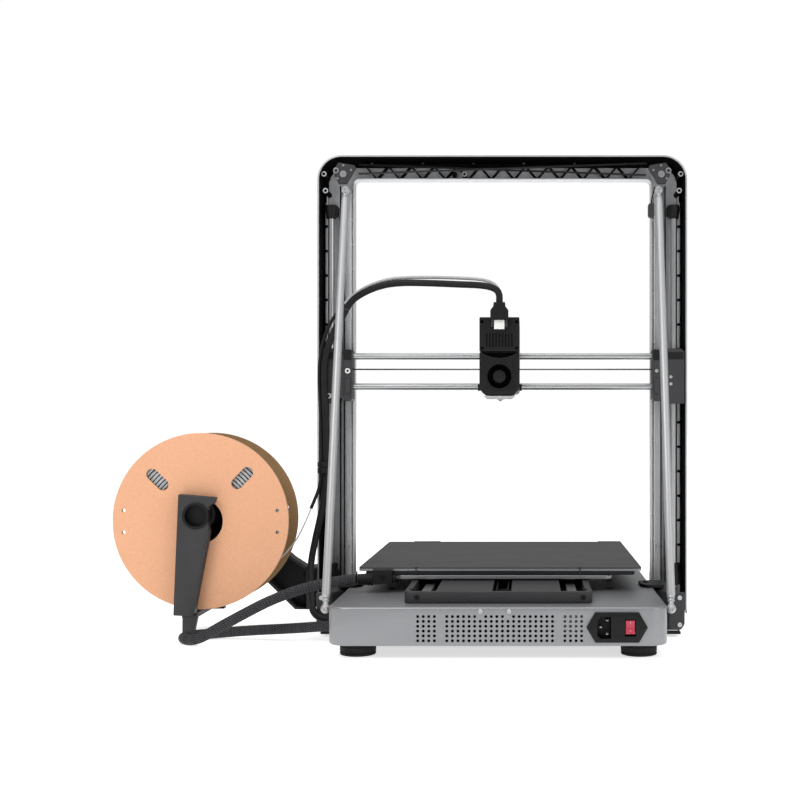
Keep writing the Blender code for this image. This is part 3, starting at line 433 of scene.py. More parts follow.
class Form:
    """A mesh under construction. New faces take the finish whose index is set."""

    def __init__(self):
        self.bm = bmesh.new()
        self.uv = self.bm.loops.layers.uv.new("UVMap")
        self.finish = 0

    def loft(self, rings, caps=True, loop=False):
        """A skin over rings of equal length, capped at its ends or joined into a loop."""
        made = [[self.bm.verts.new(p) for p in ring] for ring in rings]
        pairs = list(zip(made, made[1:])) + ([(made[-1], made[0])] if loop else [])
        count = len(rings[0])
        for row, (first, second) in enumerate(pairs):
            for i in range(count):
                j = (i + 1) % count
                face = self.bm.faces.new((first[i], first[j], second[j], second[i]))
                face.material_index = self.finish
                corners = ((i, row), (i + 1, row), (i + 1, row + 1), (i, row + 1))
                for corner, (u, v) in zip(face.loops, corners):
                    corner[self.uv].uv = (u / count, v)
        if caps and not loop:
            for ring in (made[0], made[-1]):
                self.bm.faces.new(ring).material_index = self.finish
        return self

    def prism(self, outline, span, axis="Y"):
        """A flat outline made thick along an axis; its coordinates are the other two axes' in order."""
        order = {"X": (2, 0, 1), "Y": (0, 2, 1), "Z": (0, 1, 2)}[axis]
        rings = [[tuple((u, v, depth)[k] for k in order) for u, v in outline] for depth in span]
        return self.loft(rings)

    def block(self, x, y, z):
        return self.prism([(x[0], y[0]), (x[1], y[0]), (x[1], y[1]), (x[0], y[1])], z, "Z")

    def turned(self, profile, centre, axis, steps=48, closed=False):
        """A profile of (radius, height) spun about an axis through the centre."""
        turn = Vector((0, 0, 1)).rotation_difference(Vector(axis)).to_matrix()
        centre = Vector(centre)
        rings = []
        for radius, height in profile:
            rings.append([centre + turn @ Vector((radius * math.cos(a), radius * math.sin(a), height))
                          for a in (2 * math.pi * i / steps for i in range(steps))])
        return self.loft(rings, not closed, closed)

    def rod(self, start, end, radius, steps=32):
        start, end = Vector(start), Vector(end)
        length = (end - start).length
        lip = min(0.5, radius / 4)
        profile = [(radius - lip, 0), (radius, lip), (radius, length - lip), (radius - lip, length)]
        return self.turned(profile, start, end - start, steps)

    def sweep(self, points, radius, sides=16, texture=None):
        """A tube along points; texture(turn, distance) gives the radius as a share of the whole."""
        tangents = [(b - a).normalized() for a, b in zip(points, points[1:])]
        tangents = [tangents[0]] + [(a + b).normalized() for a,
                                    b in zip(tangents, tangents[1:])] + [tangents[-1]]
        across = tangents[0].orthogonal().normalized()
        rings, distance = [], 0.0
        for index, (point, tangent) in enumerate(zip(points, tangents)):
            across = (across - tangent * across.dot(tangent)).normalized()
            other = tangent.cross(across)
            distance += (point - points[index - 1]).length if index else 0.0
            ring = []
            for i in range(sides):
                a = 2 * math.pi * i / sides
                share = texture(a, distance) if texture else 1.0
                ring.append(point + (across * math.cos(a) + other * math.sin(a)) * radius * share)
            rings.append(ring)
        return self.loft(rings)

    def belt(self, path, span, axis, closed=False, pitch=2.0, thickness=0.8, tooth=0.6):
        """A toothed belt along a flat path; the teeth stand on the path's left side."""
        points = [Vector(p) for p in path]
        fine = []
        for first, second in zip(points, points[1:] + (points[:1] if closed else [])):
            steps = max(1, round((second - first).length / (pitch / 4)))
            fine += [first.lerp(second, i / steps) for i in range(steps)]
        if not closed:
            fine.append(points[-1])
        rings = []
        for index, point in enumerate(fine):
            after = fine[(index + 1) % len(fine)] if closed or index + 1 < len(fine) else point
            before = fine[index - 1] if closed or index else point
            run = (after - before).normalized()
            left = Vector((-run.y, run.x))
            inner = point + left * (thickness / 2 + (tooth if index % 4 in (0, 1) else 0))
            outer = point - left * thickness / 2
            order = {"X": (2, 0, 1), "Y": (0, 2, 1), "Z": (0, 1, 2)}[axis]
            corners = ((outer, span[0]), (inner, span[0]), (inner, span[1]), (outer, span[1]))
            rings.append([tuple((p.x, p.y, depth)[k] for k in order) for p, depth in corners])
        return self.loft(rings, not closed, closed)

    def screw(self, centre, axis, radius, height=1.4, socket=0.45):
        """A low round head with a hexagon socket sunk in it."""
        self.turned([(radius, 0), (radius, height * 0.6), (radius * 0.85, height), (radius * socket, height),
                     (radius * socket * 0.9, height * 0.25)], centre, axis, 24)
        return self

    def ring(self, centre, axis, outer, inner, height):
        lip = 0.3
        return self.turned([(outer, 0), (outer, height - lip), (outer - lip, height), (inner + lip, height),
                            (inner, height - lip), (inner, 0)], centre, axis, 32, closed=True)

    def flip(self):
        """The mirror image on the other side of X = 0."""
        bmesh.ops.scale(self.bm, vec=(-1, 1, 1), verts=self.bm.verts)
        return self


def new_object(name, form, finishes=()):
    bmesh.ops.recalc_face_normals(form.bm, faces=form.bm.faces)
    form.bm.transform(TO_ROW)
    mesh = bpy.data.meshes.new(name)
    form.bm.to_mesh(mesh)
    form.bm.free()
    for finish in finishes:
        mesh.materials.append(finish)
    obj = bpy.data.objects.new(name, mesh)
    bpy.context.scene.collection.objects.link(obj)
    return obj


def soften(obj, width, segments=2, angle=35):
    modifier = obj.modifiers.new("edges", "BEVEL")
    modifier.width = width * MM
    modifier.segments = segments
    modifier.limit_method = "ANGLE"
    modifier.angle_limit = math.radians(angle)
    return obj


def smooth(obj, angle=35):
    obj.data.shade_smooth()
    obj.data.set_sharp_from_angle(angle=math.radians(angle))


def fixed(obj):
    """Replace an object's mesh by what its modifiers make of it."""
    bpy.context.view_layer.update()
    mesh = bpy.data.meshes.new_from_object(obj.evaluated_get(bpy.context.evaluated_depsgraph_get()))
    obj.modifiers.clear()
    obj.data = mesh
    return obj


def carve(obj, *forms):
    """Cut closed shapes out of an object."""
    for index, form in enumerate(forms):
        cutter = new_object(f"{obj.name}_cutter_{index}", form)
        modifier = obj.modifiers.new("cut", "BOOLEAN")
        modifier.object = cutter
        fixed(obj)
        bpy.data.objects.remove(cutter)
    return obj


def attach(obj, body, replaces=()):
    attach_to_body(obj, body)
    if replaces:
        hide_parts(*replaces)
    return obj


def piece(name, form, body, finishes, edge=0.4, replaces=()):
    """One finished piece that rides on a body."""
    finishes = finishes if isinstance(finishes, (list, tuple)) else [finishes]
    obj = new_object(name, form, finishes)
    smooth(obj)
    if edge:
        soften(obj, edge)
        obj.modifiers.new("normals", "WEIGHTED_NORMAL").keep_sharp = True
    return attach(obj, body, replaces)


def extent(node_name):
    """A CAD node's spans along X, Y and Z, in millimetres in the printer's own frame."""
    low, high = ((corner - ORIGIN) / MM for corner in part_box(node_name))
    return [(low[i], high[i]) for i in range(3)]


def copied(node_name, name, finish):
    """A new object with a CAD node's mesh, ready to be carved."""
    mesh = NODES[node_name].data.copy()
    mesh.transform(NODES[node_name].matrix_world)
    mesh.materials.clear()
    mesh.materials.append(finish)
    obj = bpy.data.objects.new(name, mesh)
    bpy.context.scene.collection.objects.link(obj)
    return obj


def keep(node_name, finish, edge=0.5):
    """A CAD node that is shown as it is, with soft edges and a finish of its own."""
    obj = NODES[node_name]
    weld = obj.modifiers.new("weld", "WELD")
    weld.merge_threshold = 0.00001
    soften(obj, edge, 3)
    obj.modifiers.new("normals", "WEIGHTED_NORMAL")
    obj.data.materials.clear()
    obj.data.materials.append(finish)


# --- cords -------------------------------------------------------------------------------------


def make_cord(name, route, diameter, finish, bodies, texture=None, sides=16, step=2.0):
    """A cord swept along its route. One that runs between two bodies stays in place in the row frame; one
    with a single body rides on that body.
    """
    points = smooth_route(route, step)
    form = Form().sweep(points, diameter / 2, sides, texture)
    obj = new_object(name, form, [finish])
    smooth(obj, 80)
    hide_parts(name.replace("_piece", ""))
    if bodies[1]:
        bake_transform(obj)
    else:
        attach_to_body(obj, bodies[0])
    return obj


def woven(strands, pitch, depth):
    """Radius of a braided sleeve: high on either set of slanted strands, low between them."""
    def share(turn, distance):
        along = 2 * math.pi * distance / pitch
        first = abs(math.sin((strands * turn + along) / 2))
        second = abs(math.sin((strands * turn - along) / 2))
        return 1 - depth * (1 - max(first, second))
    return share


def make_cords():
    make_cord("bed_cable_piece", BED_CABLE, BED_CABLE_DIAMETER, BRAID, ("bed", "chassis"),
              woven(16, 12.0, 0.18), 64, 1.1)
    make_cord("head_cable_upper_piece", HEAD_CABLE_UPPER, HEAD_CABLE_DIAMETER, SLEEVE, ("head", "beam"),
              woven(16, 5.0, 0.03), 24, 1.5)
    make_cord("head_cable_lower_piece", HEAD_CABLE_LOWER, HEAD_CABLE_DIAMETER, SLEEVE, ("beam", "chassis"),
              woven(16, 5.0, 0.03), 24, 1.5)
    make_cord("feed_tube_upper_piece", FEED_TUBE_UPPER, TUBE_DIAMETER, TUBING, ("head", "beam"))
    make_cord("feed_tube_lower_piece", FEED_TUBE_LOWER, TUBE_DIAMETER, SLEEVE, ("beam", "chassis"))
    make_cord("filament_piece", FILAMENT, FILAMENT_DIAMETER, FILAMENT_FINISH, ("chassis", None))
    tie = Form()
    for depth in (0, 1):
        tie.ring((211.5, -7, 182 + 7 * depth), (0, 0, 1), 8.6, 7.2, 6.2)
    piece("cable_tie", tie, "chassis", BLACK, 0.3)


# --- base --------------------------------------------------------------------------------------

def vent_holes():
    """Six rows of round holes: a wide middle block and two narrow ones."""
    middle, pitch_x, pitch_z, top = -2.0, 5.65, 4.92, 44.3
    side_block, radius = 74.8, 1.55
    holes = Form()
    for row in range(6):
        z = top - row * pitch_z
        columns = [(middle - (i - 9.5) * pitch_x) for i in range(20) if row or i not in (6, 11)]
        for sign in (1, -1):
            columns += [middle + sign * side_block + (i - 1.5) * pitch_x for i in range(4)]
        for x in columns:
            holes.turned([(radius, 0), (radius, 8)], (x, BASE_BACK_FACE - 5, z), (0, 1, 0), 14)
    return holes


def make_base():
    x, y, z = extent("base_shell")
    wall, corner = 3.0, 20.0
    shell = new_object("base_shell_piece", Form().prism(rounded(x, y, corner, 16), z, "Z"), [SATIN])
    fixed(soften(shell, 2.4, 5))
    inside = rounded((x[0] + wall, x[1] - wall), (y[0] + wall, y[1] - wall), corner - wall, 12)
    inlet_x, _, inlet_z = extent("power_inlet")
    window = Form().block((inlet_x[0] + 9.6, inlet_x[1] - 9.6), (y[1] - 8, y[1] + 5),
                          (inlet_z[0] + 2.8, inlet_z[1] - 2.8))
    carve(shell, Form().prism(inside, (z[0] - 5, z[1] - wall), "Z"), window, vent_holes())
    smooth(shell, 30)
    attach(shell, "chassis", ["base_shell"])

    screws = Form()
    for x_place in (17.6, -11.5):
        screws.screw((x_place, y[1] + 0.1, 49.4), (0, 1, 0), 2.7, 1.3)
    piece("back_screws", screws, "chassis", STEEL, 0)

    plugs = Form()
    for place in ((-128, -5), (-123.6, 65), (128, -5), (123.6, 65)):
        plugs.prism(stadium(place, 2.5, 1.5, 0), (z[1] + 0.1, z[1] + 0.9), "Z")
    piece("deck_plugs", plugs, "chassis", BLACK, 0.2)
    keep("base_bottom_cover", DARK)

    for end in ("back", "front"):
        for side, _ in SIDES:
            name = f"foot_{end}_{side}"
            make_foot(name, *extent(name))


def make_foot(name, x, y, z):
    radius, top = (x[1] - x[0]) / 2, z[1]
    profile = [(radius - 1.2, top), (radius - 0.6, top - 0.6), (radius - 0.6, 9.6), (radius, 9.0),
               (radius, 4.2),
               (radius - 0.8, 3.8), (radius - 0.8, 3.0), (radius, 2.6), (radius, 1.6), (radius - 0.5, 0.5),
               (radius - 2, 0.0)]
    foot = Form().turned(profile, ((x[0] + x[1]) / 2, (y[0] + y[1]) / 2, 0), (0, 0, 1), 64)
    piece(name + "_piece", foot, "chassis", RUBBER, 0, [name])


def make_power_inlet():
    x, y, z = extent("power_inlet")
    middle_x, middle_z = (x[0] + x[1]) / 2, (z[0] + z[1]) / 2
    slope = 9.0
    face = (BASE_BACK_FACE + 0.3, BASE_BACK_FACE + 3)
    outline = [(x[0], middle_z), (x[0] + slope, z[0]), (x[1] - slope, z[0]), (x[1], middle_z),
               (x[1] - slope, z[1]), (x[0] + slope, z[1])]
    socket_x, rocker_x = middle_x + 13.2, middle_x - 13.4
    inlet = new_object("power_inlet_piece", Form().prism(outline, face), [BLACK])
    fixed(soften(inlet, 0.7, 3))
    well = [(socket_x - 7, 22), (socket_x + 3.5, 22), (socket_x + 7, 25.4), (socket_x + 7, 41),
            (socket_x + 3.5, 44.4), (socket_x - 7, 44.4)]
    pocket = Form().block((rocker_x - 5.6, rocker_x + 5.6), (200, 225), (24.4, 41.6))
    carve(inlet, Form().prism(well, (200, 225)), pocket)
    smooth(inlet)
    attach(inlet, "chassis", ["power_inlet"])

    case = Form()
    case.loft([[(u, 203, v) for u, v in well], [(u, BASE_BACK_FACE + 0.5, v) for u, v in well],
               [(socket_x + (u - socket_x) * 1.14, BASE_BACK_FACE + 0.5, 33 + (v - 33) * 1.1) for u,
                v in well],
               [(socket_x + (u - socket_x) * 1.14, 200, 33 + (v - 33) * 1.1) for u, v in well]])
    case.block((rocker_x - 7.5, rocker_x + 5.6), (195, 203), (22.4, 43.6))
    piece("inlet_case", case, "chassis", BLACK, 0.3)

    pins = Form()
    for dx, dz in ((3.2, 0), (-3.4, 7), (-3.4, -7)):
        pins.block((socket_x + dx - 1.2, socket_x + dx + 1.2), (202, 212.5), (32.3 + dz, 33.7 + dz))
    piece("inlet_pins", pins, "chassis", BRACE_METAL, 0.2)
    screws = Form()
    for place in (-94.3, -147.8):
        screws.screw((place, face[1] + 0.05, 33.4), (0, 1, 0), 2.6, 0.8)
    piece("inlet_screws", screws, "chassis", BLACK, 0)

    x, y, z = extent("rocker_switch")
    middle = (z[0] + z[1]) / 2
    crown = [(y[0], middle - 4.6), (y[1] - 1.0, z[0]), (y[1] - 0.2, z[0] + 0.5), (y[1] - 1.9, middle - 2.5),
             (y[1] - 2.2, middle), (y[1] - 2.3, middle + 3), (y[1] - 1.5, z[1] - 0.5), (y[1] - 2.4, z[1]),
             (y[0], middle + 4.6)]
    piece("rocker_switch_piece", Form().prism(crown, x, "X"), "rocker", RED, 0.35, ["rocker_switch"])
    marks = Form()
    marks.block((rocker_x - 0.4, rocker_x + 0.4), (y[1] - 1.9, y[1] - 1.4), (middle + 3.3, middle + 5.9))
    marks.ring((rocker_x, y[1] - 1.8, middle - 4.6), (0, 1, 0), 1.7, 0.9, 0.7)
    piece("rocker_marks", marks, "rocker", PINK, 0)


def make_electronics():
    keep("power_supply", CASE)
    keep("mainboard", PCB, 0.2)
    keep("y_motor", BLACK, 1.5)


# --- deck and bed ------------------------------------------------------------------------------

def make_deck():
    x, y, z = extent("rail_housing")
    rail_x, channel, floor_z, trench_x = 78.0, 13.0, 56.0, -3.5
    housing = new_object("rail_housing_piece", Form().prism(rounded(x, y, 8, 10), z, "Z"), [DARK])
    fixed(soften(housing, 1.2, 3))
    inner = (y[0] + 2, y[1] - 3)
    cuts = [Form().block((c - channel, c + channel), inner, (floor_z, z[1] + 5)) for c in (rail_x, -rail_x)]
    cuts.append(Form().block((trench_x - 10, trench_x + 10), (inner[0] + 8, inner[1]), (floor_z, z[1] + 5)))
    carve(housing, *cuts)
    smooth(housing)
    attach(housing, "chassis", ["rail_housing"])

    ribs = Form()
    for centre in (rail_x, -rail_x):
        for i in range(31):
            start = inner[0] + 6 + i * 12
            for side in (-1, 1):
                ribs.block(sorted((centre + side * 5.6, centre + side * 12.8)), (start, start + 7),
                           (floor_z + 0.05, floor_z + 0.8))
    piece("channel_ribs", ribs, "chassis", MATT_BLACK, 0.2)
    for side, _ in SIDES:
        name = f"y_rail_{side}"
        rx, ry, rz = extent(name)
        outline = [(rx[0], rz[0]), (rx[1], rz[0]), (rx[1], rz[0] + 1.6), (rx[1] - 0.9, rz[0] + 2.4),
                   (rx[1] - 0.9, rz[0] + 3), (rx[1], rz[0] + 3.8), (rx[1], rz[1]), (rx[0], rz[1]),
                   (rx[0], rz[0] + 3.8), (rx[0] + 0.9, rz[0] + 3), (rx[0] + 0.9, rz[0] + 2.4),
                   (rx[0], rz[0] + 1.6)]
        piece(name + "_piece", Form().prism(outline, ry), "chassis", STEEL, 0.2, [name])

    screws = Form()
    for place in (84.7, -88.2):
        screws.screw((place, y[1] + 0.05, 60.4), (0, 1, 0), 2.9, 1.0)
    for place in (x[0] + 7, x[1] - 7):
        for depth in (y[0] + 14, 0, y[1] - 14):
            screws.screw((place, depth, z[1] + 0.05), (0, 0, 1), 2.4, 0.8)
    piece("housing_screws", screws, "chassis", BLACK, 0)
    bracket = Form().prism([(-12, 54.2), (8, 54.2), (8, 62), (2.5, 64), (-8, 64), (-12, 62)],
                           (y[1] - 13, y[1] - 4))
    piece("belt_tensioner", bracket, "chassis", BLACK, 0.8)

    px, py, pz = extent("y_belt")
    radius = (px[1] - px[0]) / 2 - 0.9
    centre_x = (px[0] + px[1]) / 2
    loop = (arc((centre_x, py[1] - radius - 0.9), radius, 0, 180, 12)
            + arc((centre_x, py[0] + radius + 0.9), radius, 180, 360, 12))
    piece("y_belt_piece", Form().belt(loop, pz, "Z", True, tooth=0.35), "chassis", BELT, 0, ["y_belt"])
    make_pulley("y_pulley", "y_drive", (0, 0, 1))


def make_pulley(name, body, axis):
    """A toothed wheel between two flanges, on its shaft."""
    x, y, z = extent(name)
    along = max(range(3), key=lambda i: abs(axis[i]))
    spans = (x, y, z)
    centre = [sum(spans[i]) / 2 for i in range(3)]
    wide = min(spans[(along + 1) % 3][1] - spans[(along + 1) % 3][0],
               spans[(along + 2) % 3][1] - spans[(along + 2) % 3][0]) / 2
    wheel = Form()
    if name == "y_pulley":
        wheel.turned([(wide, z[1] - 6.9), (wide, z[1]), (1.6, z[1]), (1.6, z[1] - 1)],
                     (centre[0], centre[1], 0), axis, 40)
        wheel.turned([(2.5, z[0]), (2.5, z[1] - 6.9)], (centre[0], centre[1], 0), axis, 24)
    else:
        low, high = spans[along]
        centre[along] = low
        height = high - low
        for start, end in ((0, 1.3), (height - 1.3, height)):
            wheel.turned([(wide - 0.3, start), (wide, start + 0.3), (wide, end - 0.3), (wide - 0.3, end)],
                         centre, axis, 48)
        teeth = 24
        outline = []
        for i in range(teeth * 4):
            reach = wide - (1.5 if i % 4 in (0, 1) else 2.2)
            angle = 2 * math.pi * i / (teeth * 4)
            outline.append((centre[0] + reach * math.cos(angle), centre[2] + reach * math.sin(angle)))
        wheel.prism(outline, (low + 1.2, high - 1.2))
    piece(name + "_piece", wheel, body, STEEL, 0, [name])


def make_bed():
    keep("bed_carriage", SATIN, 0.8)
    x, y, z = extent("heater_bed")
    plate_low, pad = 76.5, 7.5
    heater = Form().prism(rounded(x, y, 6, 8), (plate_low, z[1]), "Z")
    piece("heater_plate", heater, "bed", SATIN, 0.4, ["heater_bed"])
    foam = Form().prism(rounded((x[0] + pad, x[1] - pad), (y[0] + 6, y[1] - 0.5), 6, 8),
                        (z[0], plate_low - 0.05), "Z")
    piece("insulation_pad", foam, "bed", RUBBER, 0.8)

    x, y, z = extent("build_plate")
    outline = (arc((x[1] - 6, y[0] + 6), 6, -90, 0, 8) + arc((x[1] - 6, y[1] - 6), 6, 0, 90, 8)
               + arc((x[0] + 6, y[1] - 6), 6, 90, 180, 8) + arc((x[0] + 6, y[0] + 6), 6, 180, 270, 8))
    piece("build_plate_piece", Form().prism(outline, z, "Z"), "bed", PLATE, 0.3, ["build_plate"])
    tabs = Form()
    for low, high in ((87.8, 123), (-157, -126)):
        tabs.prism(rounded((low, high), (y[0] + 1, y[0] + 8), 3, 6), (z[1] + 0.1, z[1] + 1.3), "Z")
    piece("plate_stops", tabs, "bed", RIM_METAL, 0.4)
    clips = Form()
    for centre in (93.5, -88.5):
        clips.block((centre - 0.7, centre + 0.7), (y[1] - 3, y[1] + 0.9), (z[1] + 0.1, z[1] + 0.8))
        clips.block((centre - 0.7, centre + 0.7), (y[1] + 0.15, y[1] + 0.9), (73.5, z[1] + 0.1))
    piece("plate_clips", clips, "bed", DARK, 0.2)

    x, y, z = extent("bed_strain_relief")
    relief_form = Form()
    relief_form.prism([(x[0], z[0] + 2), (x[0] + 22, z[0] + 0.4), (x[0] + 22, z[1]), (x[0], z[1])], y)
    neck = 100.0
    profile = []
    for i in range(5):
        start = i * 3.3
        profile += [(7.2 - i * 0.35, start), (7.2 - i * 0.35, start + 2), (6.2, start + 2.2),
                    (6.2, start + 3.2)]
    relief_form.turned(profile, (x[0] + 22, neck, 69.5 - 1.2), (1, 0, 0), 32)
    relief_form.screw((x[0] + 11, y[1] + 0.05, (z[0] + z[1]) / 2 + 1), (0, 1, 0), 2.6)
    piece("bed_strain_relief_piece", relief_form, "bed", BLACK, 0.6, ["bed_strain_relief"])


# --- portal frame ------------------------------------------------------------------------------

def make_frame():
    x, y, z = extent("gantry_frame")
    half, top, bottom, corner = x[1], z[1], z[0], 29.0
    inner_half, inner_top = 181.0, 538.6
    front, web, lip, back = y[0], y[0] + 4, y[0] + 20, y[1]
    form = Form()

    def band(outer_inset, width, span, finish):
        form.finish = finish
        outer = portal(half - outer_inset, top - outer_inset, corner - outer_inset, bottom)
        inset = outer_inset + width
        inner = portal(half - inset, top - inset, corner - inset, bottom)
        form.prism(outer + inner[::-1], span)

    form.prism(portal(half, top, corner, bottom) + portal(inner_half, inner_top, 6, bottom)[::-1],
               (front, web))
    band(0, 2, (web, back - 0.6), 0)
    # Finish 2, matt black, is painted shade: it lines the outer wall's inner face, the rim's inner edge and a
    # strip of web beside the wall.
    band(2, 1, (web, back - 0.6), 2)
    band(0, 1.9, (back - 0.6, back), 1)
    band(1.9, 1.1, (back - 0.6, back - 0.1), 2)
    band(3, 5.5, (web, web + 0.5), 2)
    form.finish = 0
    inner_wall = (portal(inner_half + 1.4, inner_top + 1.4, 7.4, bottom)
                  + portal(inner_half, inner_top, 6, bottom)[::-1])
    form.prism(inner_wall, (web, lip - 0.5))
    form.finish = 1
    form.prism(inner_wall, (lip - 0.5, lip))
    form.finish = 0
    for sign in (1, -1):
        form.block(sorted((sign * inner_half, sign * half)), (web, back), (bottom, bottom + 3))
    piece("gantry_frame_piece", form, "chassis", [FRAME_METAL, RIM_METAL, MATT_BLACK], 0.3, ["gantry_frame"])

    # The zigzag ribs and the shelf over them are matt black as painted shade: they stand in shade inside the
    # beam's channel.
    ribs = Form()
    half_period, low, high, reach = 14.0, inner_top + 1.4, top - 7.6, 168.0
    for i in range(24):
        left = i * half_period - reach
        ends = (low, high) if i % 2 else (high, low)
        first, second = Vector((left, ends[0])), Vector((left + half_period, ends[1]))
        run = (second - first).normalized()
        side = Vector((-run.y, run.x)) * 0.7
        corners = (first - side, second - side, second + side, first + side)
        ribs.prism([tuple(p) for p in corners], (web, web + 11))
    ribs.block((-172, 172), (web, web + 14), (high, high + 1.2))
    piece("beam_ribs_painted_shade", ribs, "chassis", MATT_BLACK, 0)
    shade = Form()
    shade.block((-174, 174), (web + 0.6, web + 3), (top - 8.4, top - 3.1))
    shade.block((56.2, 61.2), (web + 0.2, web + 12), (543.2, 548.2))
    piece("beam_shadow_strip", shade, "chassis", MATT_BLACK, 0.1)
    places = [(46.6, 545.7, 3.4, 1.7, 14)] + [(-150 + i * 62, top - 5.6, 2.0, 1.0, 8) for i in range(6)]
    piece("beam_bosses", capped_bosses(places, web), "chassis", [MATT_BLACK, RIM_METAL], 0)

    for side, sign in SIDES:
        make_leg(side, sign, web, lip, bottom, inner_half, half)


def mirrored_piece(name, form, sign, body, finishes, edge=0.4, replaces=()):
    return piece(name, form if sign > 0 else form.flip(), body, finishes, edge, replaces)


def capped_bosses(places, web):
    """Dark hollow posts on the frame's web, each (x, z, outer, inner, height), with pale ring faces."""
    form = Form()
    for x, z, outer, inner, height in places:
        form.finish = 0
        form.ring((x, web, z), (0, 1, 0), outer - 0.2, inner, height - 0.8)
        form.finish = 1
        form.ring((x, web + height - 0.8, z), (0, 1, 0), outer, inner, 0.8)
    return form


def make_leg(side, sign, web, lip, bottom, inner_half, half):
    """Everything that stands inside one leg of the portal frame."""
    ribs = Form()
    for place, width, height in ((185.6, 1.0, 6), (192.6, 0.8, 3), (200.6, 0.8, 3), (214.6, 1.0, 7)):
        ribs.block((place, place + width), (web, web + height), (bottom + 4, 528))
    for i in range(17):
        ribs.block((184, 186), (web, web + 9), (40 + i * 30, 41 + i * 30))
    mirrored_piece(f"leg_ribs_{side}", ribs, sign, "chassis", FRAME_METAL, 0)

    ladder = Form()
    ladder.block((214.9, 217.6), (web + 0.5, web + 5), (bottom + 4, 512))
    mirrored_piece(f"leg_ladder_{side}", ladder, sign, "chassis", FRAME_METAL, 0.2)
    # Painted shade: matt black blocks between the ladder's rungs, deep in the leg's channel.
    notch_shade = Form()
    for i in range(16):
        notch_shade.block((214.2, 219.0), (web + 0.6, web + 7.5), (31 + i * 30, 34 + i * 30))
    mirrored_piece(f"leg_notches_{side}", notch_shade, sign, "chassis", MATT_BLACK, 0.3)

    bosses = capped_bosses([(215.2, 542, 3.3, 1.7, 33), (213.3, 521.9, 3.3, 1.7, 33),
                            (188.5, 90, 2.0, 0.9, 3.5), (194.5, 90, 2.0, 0.9, 3.5)], web)
    bosses.finish = 0
    for place, z in ((215.2, 542), (213.3, 521.9)):
        bosses.block((place + 3, half - 3), (web, web + 32), (z - 0.5, z + 0.5))
    mirrored_piece(f"leg_bosses_{side}", bosses, sign, "chassis", [MATT_BLACK, RIM_METAL], 0)

    clamps = Form()
    centre = (208, -35)
    clamps.turned([(5.6, 489.5), (5.9, 490.5), (6.3, 497), (7.2, 498.5), (7.2, 505), (6.6, 506)],
                  (*centre, 0), (0, 0, 1), 40)
    clamps.turned([(8.8, 46), (9.4, 46.8), (9.4, 60), (8.0, 62), (8.0, 71), (7.4, 72)], (*centre, 0),
                  (0, 0, 1), 40)
    clamps.block((201, 215), (web, -38), (46, 60))
    clamps.block((201, 215), (web, -38), (495, 506))
    mirrored_piece(f"rod_clamps_{side}", clamps, sign, "chassis", BLACK, 0.5)

    name = f"z_rod_{side}"
    rx, ry, rz = extent(name)
    rod = Form().rod((sum(rx) / 2, sum(ry) / 2, rz[0]), (sum(rx) / 2, sum(ry) / 2, rz[1]),
                     (rx[1] - rx[0]) / 2, 40)
    piece(name + "_piece", rod, "chassis", STEEL, 0, [name])

    plate_name = f"pulley_plate_{side}"
    keep(plate_name, DARK, 0.8)
    hardware = Form()
    face = extent(plate_name)[1][1]
    hardware.ring((191, face + 0.1, 540.4), (0, 1, 0), 4.0, 1.9, 0.9)
    hardware.screw((191, face + 0.1, 540.4), (0, 1, 0), 2.4, 1.8)
    hardware.ring((199.5, face + 0.1, 544.5), (0, 1, 0), 3.4, 2.1, 0.9)
    for place, z in ((190.6, 550.6), (197.5, 535), (181.5, 545)):
        hardware.screw((place, face + 0.1, z), (0, 1, 0), 1.5, 1.0)
    mirrored_piece(f"pulley_hardware_{side}", hardware, sign, "chassis", STEEL, 0)
    make_pulley(f"top_idler_{side}", f"idler_{side}", (0, 1, 0))

    name = f"top_belt_{side}"
    bx, by, bz = extent(name)
    ends = [(bx[0], bz[1] - 0.7), (bx[1], bz[0] + 0.7)]
    if sign < 0:
        ends = [(bx[0], bz[0] + 0.7), (bx[1], bz[1] - 0.7)]
    piece(name + "_piece", Form().belt(ends, by, "Y", tooth=0.4), "chassis", BELT, 0, [name])
    column = Form()
    for place in (194.3, 199.2):
        column.belt([(place, 32), (place, 532)], (-54, -48), "Y", tooth=0.4)
    mirrored_piece(f"column_belts_{side}", column, sign, "chassis", BELT, 0)

    make_brace(side)
    make_foot_bracket(side, sign)
    make_motor(side)


def make_brace(side):
    """A drawn tube with a ball on a ringed neck at each end."""
    sign = dict(SIDES)[side]
    foot = Vector((sign * 179.8, 185.0, 48.0))
    top = Vector((sign * 187.0, -10.0, 519.6))
    length = (top - foot).length
    half_profile = [(r, h) for r, h in arc((0, 0), 5, -85, 55, 10)]
    neck = [(2.6, 6), (2.6, 7.6), (3.6, 8), (3.6, 9.4), (2.6, 9.8), (2.6, 11), (3.8, 11.4), (3.8, 13.6),
            (4.1, 14),
            (4.4, 15.2)]
    lower = half_profile + neck
    profile = lower + [(r, length - h) for r, h in reversed(lower)]
    form = Form().turned(profile, foot, top - foot, 40)
    form.screw(foot + Vector((0, 4.6, 0)), (0, 1, 0), 3.2, 1.6)
    form.screw(top + Vector((0, 4.6, 0)), (0, 1, 0), 3.2, 1.6)
    piece(f"brace_{side}_piece", form, "chassis", BRACE_METAL, 0, [f"brace_{side}"])


